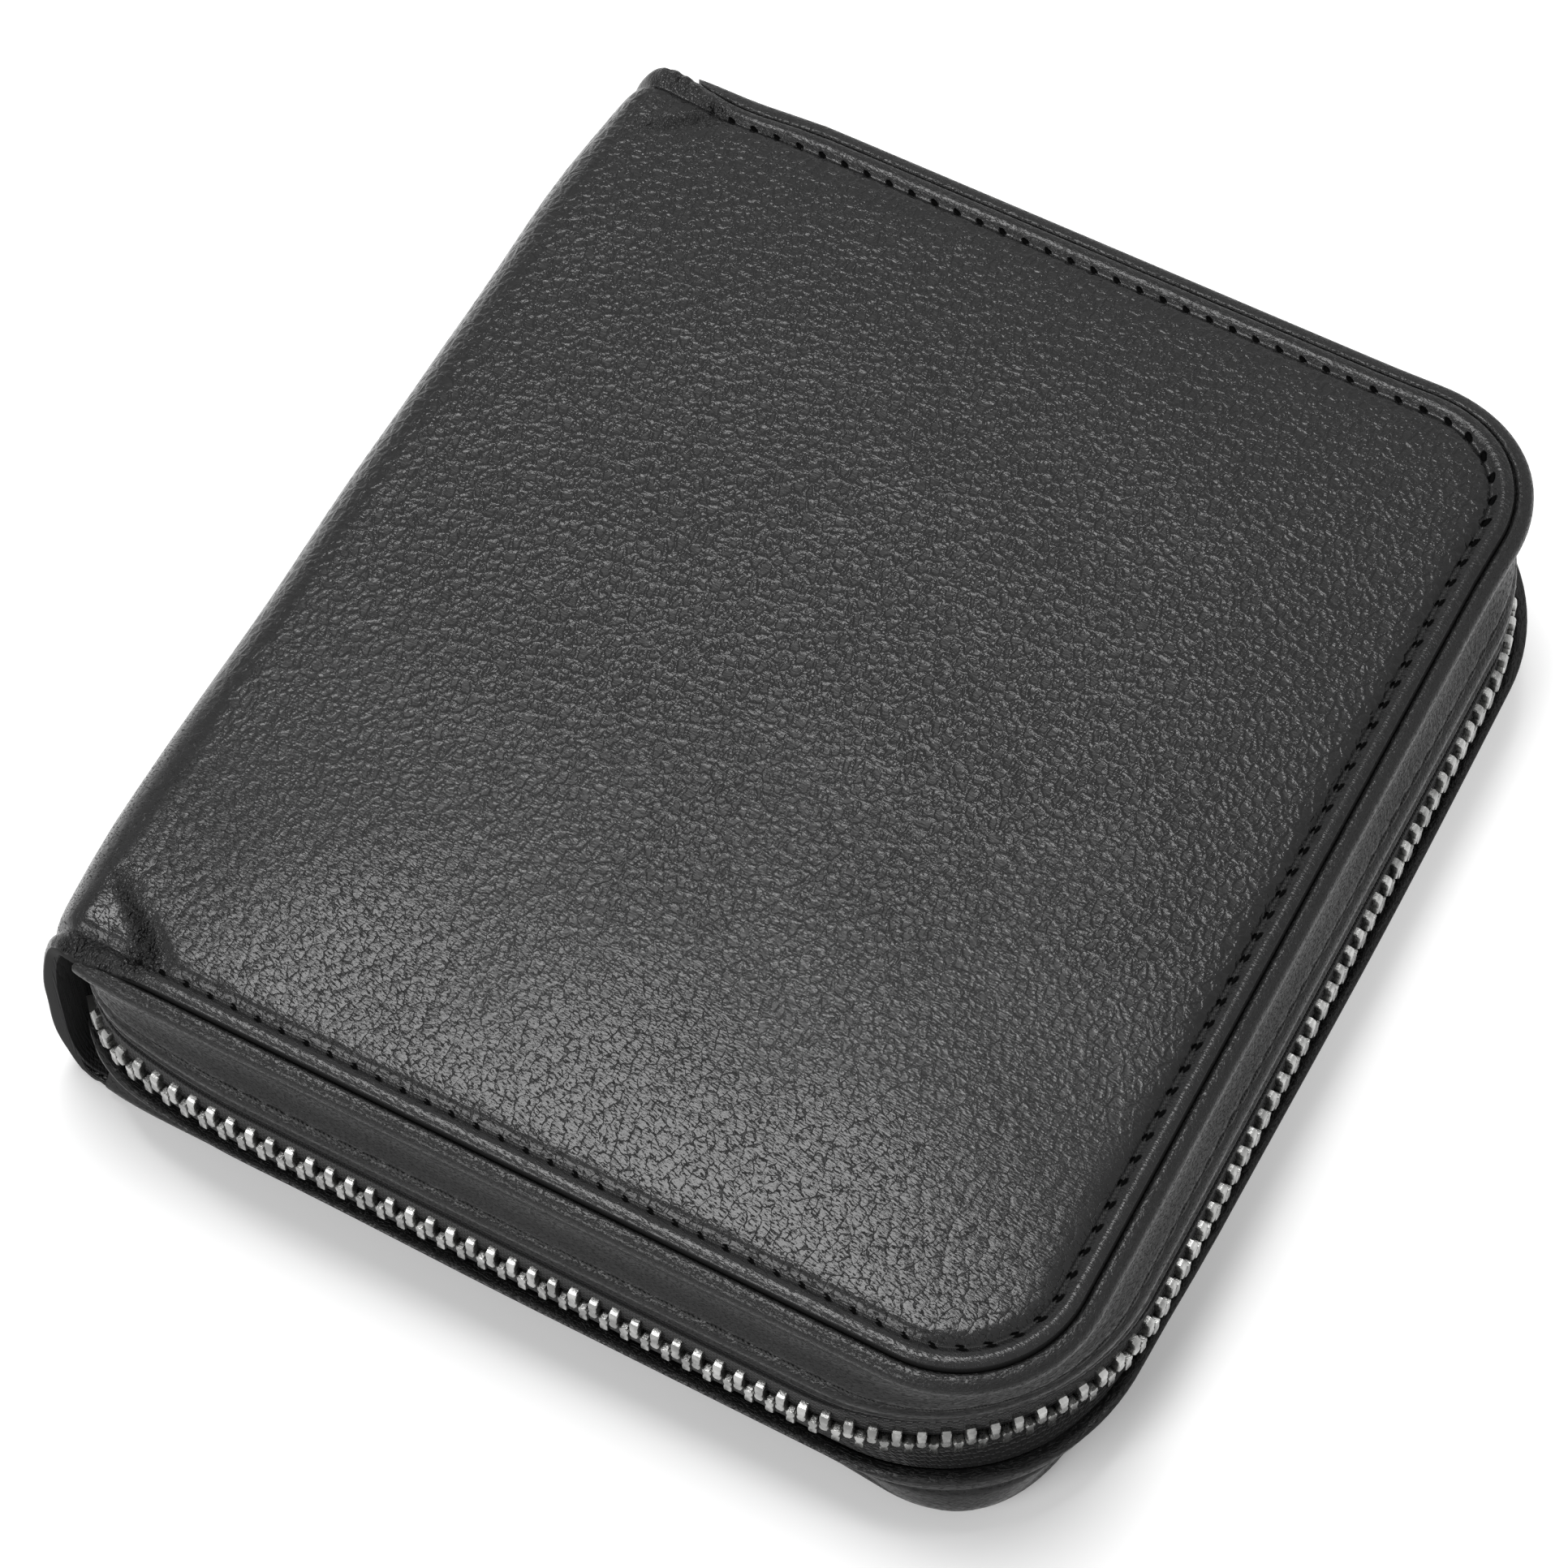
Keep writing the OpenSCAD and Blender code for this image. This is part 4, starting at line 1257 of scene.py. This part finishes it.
    def _sew(self) -> None:
        """Adds the row of stitches just inside the rim."""
        bm = bmesh.new()
        first = math.ceil(self.seam_start / SEAM_PITCH) + 0.5
        for i in range(int((self.seam_length - self.seam_start) / SEAM_PITCH - first)):
            start, end = ((first + i + k) * SEAM_PITCH for k in (0, 1))
            a, b = self._seam_place(start + self.needle_gap), self._seam_place(end - self.needle_gap)
            add_stitch(bm, a, b, Vector((0, 0, self.half.up)))
        self.add(bm, "cover_stitching", "thread")


@dataclass
class SpineLining(HalfPart):
    """Cloth that lines half of the spine and tucks in under the cover's lining.

    The bowed spine flattens as the case opens, so the cloth is pressed flat inside the fold lines.
    """

    thickness: float = 0.5
    clear: float = 0.02
    side_gap: float = 0.2
    tuck: float = 2.2
    pressed: float = 0.8
    keep: float = 0.12
    tucked: int = 4
    columns: int = 22
    rows: int = 40

    def build(self) -> None:
        n = self.lines
        a, b = n.spine_bow - n.spine_wall, n.mid_z - n.cover_t

        def skin(depth: float) -> Callable[[int, int], Vector]:
            """Places one skin of the cloth, depth under its outer one."""

            def place(i: int, j: int) -> Vector:
                """Places one point of the skin."""
                side = n.back_y - self.side_gap
                y = mix(-side, side, j / self.rows)
                if i <= self.tucked:
                    x, h = n.fold_x + self.tuck * (1 - i / self.tucked), b - depth
                else:
                    share = (i - self.tucked) / (self.columns - self.tucked)
                    out, h = n.bow(self.half, a - depth, b - depth, share)
                    loose = 0.12 * wave(h, y, 2, 5) * share * (1 - share)
                    x = n.fold_x - out * n.bow_share(y, h, self.half) + loose
                return Vector((x, y, n.mid_z + self.half.up * h))

            return place

        width = self.tuck + Route([n.bow(self.half, a, b, i / 60) for i in range(61)]).length
        cell = Vector((width / self.columns, 2 * n.back_y / self.rows))
        bm = bmesh.new()
        for depth in (self.clear, self.thickness):
            bend_blank(bm, self.columns, self.rows, skin(depth), lambda i, j: cell * Vector((i, j)))
        bmesh.ops.bridge_loops(bm, edges=[e for e in bm.edges if e.is_boundary])
        bmesh.ops.recalc_face_normals(bm, faces=bm.faces)
        name = f"spine_lining_{self.half.value}"
        cloth = add_piece(bm, name, self.finishes["lining"], "spine", "lining_spine")
        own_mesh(cloth)


# ---------------------------------------------------------------- the zip surround


@dataclass
class Surround(HalfPart):
    """Half of the zip's surround: the folded leather band, its stitches and the woven tape.

    The profiles give heights from the middle plane, with how far out each rail runs.
    """

    band_t: float = 1.4
    tape_t: float = 0.6
    stitch_h: float = 6.35
    stitch_out: float = -0.16
    seam_start: float = 1.5
    needle_gap: float = 0.25
    thread_w: float = 0.4
    ridge: tuple[tuple[float, float], ...] = (
        (12.2, -1.1), (12.2, -0.5), (12.3, -0.24), (12.66, -0.14), (12.9, 0.0), (13.0, 0.2), (12.98, 0.46),
        (12.92, 0.74), (12.84, 1.0), (12.72, 1.24), (12.5, 1.44), (12.2, 1.56), (11.84, 1.6), (11.5, 1.56),
    )
    ridge_end: tuple[float, float] = (11.8, -1.5)
    profile: tuple[tuple[float, float], ...] = (
        (11.1, 0.42), (10.7, 0.14), (10.1, -0.2),
        (9.3, -0.5), (8.4, -0.54), (7.6, -0.38), (6.95, -0.14), (6.6, -0.1), (6.35, -0.3),
        (6.1, -0.1), (5.85, 0.12), (5.5, 0.22), (5.15, 0.18), (4.85, 0.0), (4.64, -0.04), (4.5, 0.08),
        (4.38, 0.1), (4.28, 0.0), (4.22, -0.2), (4.2, -0.62),
        (4.26, -1.1), (4.5, -1.38), (5.4, -1.4), (7.0, -1.4), (9.0, -1.4), (11.0, -1.4),
    )
    tape_face: tuple[tuple[float, float], ...] = (
        (3.3, 0.0), (2.2, 0.0), (1.35, 0.0), (1.1, 0.18), (0.9, 0.08),
    )

    def _rail(self, h: float, out: float) -> list[Vector]:
        """Returns a rail at a height, moved out from the band's own line."""
        return self.lines.raise_line(self.lines.band_line(h, self.half, out), h, self.half)

    def _ridge_rail(self, h: float, out: float) -> list[Vector]:
        """Returns a rail of the ridge beside the cover's edge, placed from that edge."""
        n = self.lines
        line = n.path(out, n.corner_r + out, n.shoulder_turn * ease(out / n.shoulder_out), 0)
        return n.raise_line(line, h, self.half)

    def build(self) -> None:
        """Builds the band, its stitches and the tape."""
        rails = [self._ridge_rail(h, out) for h, out in self.ridge]
        rails += [self._rail(h, out) for h, out in self.profile]
        rails.append(self._ridge_rail(*self.ridge_end))
        for p in (p for rail in rails for p in rail):
            p += self._sway(p)
        self.add(sweep(rails), "band_leather", "band", "band", "band_leather", 60)
        self._sew()
        self._tape()

    def _sway(self, p: Vector) -> Vector:
        """Returns the small unevenness of the hand-sewn band, least at the zip."""
        h = abs(p.z - self.lines.mid_z)
        lean = 0.12 * wave(p.x, p.y, self.half.up * 5, 9) * bell(h - 8.5, 3.5)
        firm = ease((h - 4.2) / 5) if self.half is Half.UPPER else 1.0
        away = Vector((p.x, p.y, 0)).normalized()
        return away * lean + self.lines.stray(p.x, p.y, h, self.half) * firm

    def _sew(self) -> None:
        """Adds the stitches along the groove above the folded edge."""
        seam = Route(self._rail(self.stitch_h, self.stitch_out))
        bm = bmesh.new()
        for i in range(int((seam.length - 2 * self.seam_start) / SEAM_PITCH)):
            a = seam.at(self.seam_start + i * SEAM_PITCH + self.needle_gap)
            b = seam.at(self.seam_start + (i + 1) * SEAM_PITCH - self.needle_gap)
            up = Vector(((b - a).y, -(b - a).x, 0)).normalized()
            add_stitch(bm, a, b, up, self.thread_w)
        self.add(bm, "band_stitching", "thread")

    def _tape(self) -> None:
        """Adds the woven tape, with a corded edge at the teeth and its far edge sewn in behind."""
        n, t, back = self.lines, self.tape_t / 2, self.band_t + 0.1

        def chain(h: float, side: float) -> list[Vector]:
            """Returns a rail of the tape where it lies along the teeth."""
            return n.raise_line(n.path(n.chain_out + side, n.chain_r + side), h, self.half)

        rails = [self._rail(h, -back) for h in (8.2, 6.2, 4.6)]
        rails += [chain(h, t + cord) for h, cord in self.tape_face]
        rails += [chain(h, -t - cord) for h, cord in reversed(self.tape_face)]
        rails += [self._rail(h, -back - self.tape_t) for h in (4.6, 6.2, 8.2)]
        self.add(sweep(rails), "woven_tape", "tape", "zip_tape", "tape")


# ---------------------------------------------------------------- teeth


@dataclass(frozen=True)
class Tooth:
    """One cast tooth: a block on the tape with a waist and a rounded head at the zip's middle.

    Across is X, the head points to -Z and the tooth is as thick as the chain along Y.
    """

    half_width: float = 0.45
    waist: float = 0.33
    head: float = 0.5
    lap: float = 0.35
    tall: float = 2.25
    thick: float = 2.3
    shoulder: float = 1.2
    caps: tuple[tuple[float, float, float], ...] = (
        (0.42, 1, 1), (0.2, 0.97, 0.88), (0.06, 0.92, 0.78), (0, 0.84, 0.8),
    )

    def build(self, bm: bmesh.types.BMesh) -> list[bmesh.types.BMVert]:
        """Adds one tooth at the origin to a mesh, its cap's steps crisp, and returns its points."""
        w, k, d = self.half_width, self.waist, self.head
        side = [(w * 0.8, self.tall), (w, self.tall - 0.15), (w, 0.95), (k, 0.68)]
        side += [(d, 0.3), (d, -0.08), (0.26, -self.lap)]
        outline = side + [(-x, z) for x, z in reversed(side)]
        outer = bm.faces.new([bm.verts.new((x, -self.thick / 2, z)) for x, z in outline])
        members, steps = list(outer.verts), []
        for further, width, height in self.caps:
            steps += outer.edges
            far = bmesh.ops.extrude_face_region(bm, geom=[outer, *outer.edges])["geom"]
            outer = next(g for g in far if isinstance(g, bmesh.types.BMFace))
            members += outer.verts
            for v in outer.verts:
                v.co.y = self.thick / 2 - further
                v.co.x *= width
                if v.co.z > self.shoulder:
                    v.co.z = mix(self.shoulder, v.co.z, height)
        for edge in steps:
            edge.smooth = False
        return members


@dataclass
class ToothRow(HalfPart):
    """The teeth of one half of the main zip."""

    pitch: float = 2.1
    stop_l: float = 1.8
    post_in: float = 2.0
    end_gap: float = 0.9

    def build(self) -> None:
        """Sets the teeth along the zip's middle line, as far as the slider's post."""
        n = self.lines
        route = Route([Vector(p) for p in n.path(n.chain_out, n.chain_r)])
        post_x = node_box("slider_body")[0].x + self.post_in
        straight_end = route.lengths[-1 - sum(TURN_STEPS)]
        end = straight_end - (post_x - n.fold_x - n.turn_back) - self.end_gap
        start = self.stop_l + self.pitch / 2
        first = start + (0 if self.half is Half.UPPER else self.pitch / 2)
        upright = Matrix.Diagonal((1, -1, self.half.up, 1))
        tooth = Tooth()
        bm = bmesh.new()
        for k in range(int((end - start) / self.pitch)):
            s = first + k * self.pitch
            i = route.find(s)[0]
            p, d = route.at(s), route.points[i] - route.points[i - 1]
            turn = Matrix.Rotation(math.atan2(d.y, d.x), 4, "Z") @ upright
            place = Matrix.Translation((p.x, p.y, n.mid_z)) @ turn
            bmesh.ops.transform(bm, matrix=place, verts=tooth.build(bm))
        bmesh.ops.recalc_face_normals(bm, faces=bm.faces)
        steps = [i for i, edge in enumerate(bm.edges) if not edge.smooth]
        row = self.add(bm, "metal_teeth", "teeth", "zip_teeth", "zip_metal", 30)
        for i in steps:  # they turn too little to look sharp by their angle
            row.data.edges[i].use_edge_sharp = True


# ---------------------------------------------------------------- inside


@dataclass
class Lining(HalfPart):
    """Cloth glued over the inside of one cover."""

    edge: float = 0.2
    puff: float = 0.08
    cells: int = 16

    def build(self) -> None:
        node, n = f"lining_{self.half.node_word}", self.lines
        bm = soften(node, self.edge)
        cut_grid(bm, 0, between(n.fold_x, n.free_x, self.cells))
        cut_grid(bm, 1, between(-n.back_y, n.back_y, self.cells))
        low, high = node_box(node)
        inside = low.z if self.half is Half.UPPER else high.z
        for v in bm.verts:
            if abs(v.co.z - inside) < 0.05:
                v.co.z += self.half.up * self.puff * (0.5 + 0.5 * wave(v.co.x, v.co.y, 1, 12))
        cloth = self.add(bm, "cover_lining", "lining", "lining", "lining")


@dataclass
class Pocket:
    """A leather pocket front lying in one half, with a turned and sewn rim."""

    finishes: Finishes
    node: str
    name: str
    half: Half
    seam_in: float = 2.5
    stitch: float = 2.6
    face_share: float = 0.94
    wall_share: float = 0.6
    rim: tuple[tuple[float, float], ...] = (
        (0.12, 0.25), (0.25, 0.15), (0.6, 0.0), (0.45, -0.1), (0.2, -0.14), (0.2, 0.06), (0.4, 0.1),
    )

    def build(self) -> None:
        """Builds the leather with its turned rim, then its stitches."""
        low, high = node_box(self.node)
        thick = high.z - low.z
        bm = bmesh.new()
        corners = [(low.x, low.y), (high.x, low.y), (high.x, high.y), (low.x, high.y)]
        thicken(bm, corners, thick * self.wall_share, [(inset, lift * thick) for inset, lift in self.rim])
        cut_grid(bm, 0, between(low.x, high.x, 14))
        cut_grid(bm, 1, between(low.y, high.y, 10))
        facing = -self.half.up
        level = low.z if facing > 0 else high.z
        for v in bm.verts:
            v.co.z = level + facing * min(v.co.z, thick)
        tidy_mesh(bm)
        leather = self.finishes["pocket"]
        add_piece(bm, self.name, leather, self.half.body, self.node, 60)
        self._sew(low, high, level + facing * thick * self.face_share)

    def _sew(self, low: Vector, high: Vector, level: float) -> None:
        """Sews round the leather just inside its rim, or once along a narrow strip's middle.

        Args:
            low: Lowest corner of the leather.
            high: Highest corner of the leather.
            level: Height of the face that shows.
        """
        inset = Vector((self.seam_in, min(self.seam_in, (high.y - low.y) / 2)))
        (x0, y0), (x1, y1) = low.xy + inset, high.xy - inset
        corners = [Vector((x, y, level)) for x, y in ((x0, y0), (x1, y0), (x1, y1), (x0, y1), (x0, y0))]
        if y1 - y0 < self.stitch:
            corners = corners[:2]
        bm = bmesh.new()
        for a, b in zip(corners, corners[1:]):
            count = round((b - a).length / self.stitch)
            for i in range(count):
                start, end = a.lerp(b, (i + 0.1) / count), a.lerp(b, (i + 0.9) / count)
                add_stitch(bm, start, end, Vector((0, 0, -self.half.up)))
        add_piece(bm, self.name + "_stitching", self.finishes["thread"], self.half.body)


@dataclass
class Inside:
    """Everything that shows when the purse is open."""

    lines: CaseLines
    finishes: Finishes
    wall_edge: float = 0.25
    tape_edge: float = 0.1

    def build(self) -> None:
        """Builds the linings, boards, pockets and coin pocket."""
        for half in Half:
            Lining(self.lines, self.finishes, half).build()
            dress(f"stiffener_{half.node_word}", self.finishes["board"])
        pockets = [(f"card_pocket_{i}", f"card_pocket_leather_{i}", Half.UPPER) for i in range(1, 5)]
        pockets += [
            ("slip_pocket", "slip_pocket_leather", Half.UPPER),
            ("coin_pocket_front", "coin_pocket_leather", Half.LOWER),
            ("coin_pocket_strip", "coin_pocket_strip_leather", Half.LOWER),
        ]
        for node, name, half in pockets:
            Pocket(self.finishes, node, name, half).build()
        walls = soften("coin_pocket_gusset", self.wall_edge)
        tapes = soften("coin_zip_tapes", self.tape_edge)
        leather, woven = self.finishes["pocket"], self.finishes["tape"]
        add_piece(walls, "coin_pocket_walls", leather, "base", "coin_pocket_gusset")
        add_piece(tapes, "coin_pocket_tapes", woven, "base", "coin_zip_tapes")


@dataclass
class Hardware:
    """Sliders, pulls, stops and the coin zip's teeth."""

    finishes: Finishes
    edge: float = 0.16

    def build(self) -> None:
        """Builds each metal piece."""
        metal = self.finishes["metal"]
        owners = {
            "slider_body": "slider", "pull_tab": "pull",
            "coin_slider": "coin_zip_slider", "coin_pull": "coin_zip_pull",
        }
        for node, body in owners.items():
            add_piece(soften(node, self.edge, 3), node + "_metal", metal, body, node, 40)
        for node in ("zip_stop_bottom", "zip_end_stop", "zip_stop_top", "coin_zip_stops", "coin_zip_teeth"):
            dress(node, metal)


# ---------------------------------------------------------------- floor, light and camera


@dataclass
class Studio:
    """Plain pale floor, soft light and the camera, with lengths in millimetres."""

    azimuth: float = 28.4
    elevation: float = 60.3
    roll: float = -0.36
    distance: float = 448.2
    lens: float = 109.0
    sensor: float = 36.0
    floor_size: float = 5000.0
    target: tuple[float, float, float] = (-2.29, -5.27, 15.68)

    def build(self) -> None:
        """Builds the floor, the lamps, the world and the camera."""
        self._floor()
        self._world()
        self._lamp("key_light", (-165, 105, 860), 350, 5.4)
        self._lamp("front_fill", (-150, -560, 430), 300, 2.2)
        self._camera()

    def _floor(self) -> None:
        """Adds the floor, which shows white but keeps the object's shadow."""
        bm = bmesh.new()
        bmesh.ops.create_grid(bm, x_segments=1, y_segments=1, size=self.floor_size / 2 * MM)
        mesh = bpy.data.meshes.new("floor")
        bm.to_mesh(mesh)
        bm.free()
        material = bpy.data.materials.new("white floor")
        material.use_nodes = True
        mesh.materials.append(material)
        g = Graph(material.node_tree)
        depth = g.parts(g.get("TexCoord", "Object"))[1]
        # painted light: the floor glows for the camera, more towards the back, washing out the shadow there
        painted_glow = g.span(depth, -0.09, 0.03, 0.06, 0.45)  # less in front, where the shadow falls
        looks = {
            "Base Color": (0.86, 0.86, 0.86, 1), "Roughness": 0.9, "Specular IOR Level": 0.0,
            "Emission Color": WHITE, "Emission Strength": g.seen() * painted_glow,
        }
        for key, value in looks.items():
            g.feed(material.node_tree.nodes["Principled BSDF"].inputs[key], value)
        add_object("floor", mesh)

    def _world(self) -> None:
        """Lights the scene softly all round and shows white to the camera and in gloss."""
        world = bpy.data.worlds.new("studio")
        bpy.context.scene.world = world
        world.use_nodes = True
        g = Graph(world.node_tree)
        inputs = world.node_tree.nodes["Background"].inputs
        g.feed(inputs["Strength"], g.blend(g.seen(), 0.35, 1.0))
        g.feed(inputs["Color"], WHITE)

    def _lamp(self, name: str, place: Sequence[float], size: float, power: float) -> None:
        """Adds one soft box that faces the purse."""
        data = bpy.data.lights.new(name, "AREA")
        data.energy = power
        data.size = size * MM
        lamp = add_object(name, data)
        lamp.location = Vector(place) * MM
        lamp.rotation_euler = (-lamp.location).to_track_quat("-Z", "Y").to_euler()

    def _camera(self) -> None:
        """Adds the camera."""
        a, e, r = (math.radians(v) for v in (self.azimuth, self.elevation, self.roll))
        back = Vector((math.sin(a) * math.cos(e), -math.cos(a) * math.cos(e), math.sin(e)))
        level = Vector((math.cos(a), math.sin(a), 0))
        right = level * math.cos(r) + back.cross(level) * math.sin(r)
        turn = Matrix((right, back.cross(right), back)).transposed().to_4x4()
        data = bpy.data.cameras.new("camera")
        data.lens = self.lens
        data.sensor_width = self.sensor
        data.clip_start, data.clip_end = 0.01, 20
        camera = add_object("camera", data)
        camera.matrix_world = Matrix.Translation((Vector(self.target) + back * self.distance) * MM) @ turn
        bpy.context.scene.camera = camera


def main() -> None:
    """Builds the purse's looks, sub-assembly by sub-assembly."""
    logging.basicConfig(level=logging.INFO, format="%(name)s: %(message)s")
    bpy.context.scene.view_settings.view_transform = "Standard"
    Studio().build()
    finishes = build_finishes()
    lines = CaseLines.from_frame()
    for half in Half:
        for part in (OuterCover, SpineLining, Surround, ToothRow):
            part(lines, finishes, half).build()
    Inside(lines, finishes).build()
    Hardware(finishes).build()


if __name__ == "__main__":
    main()
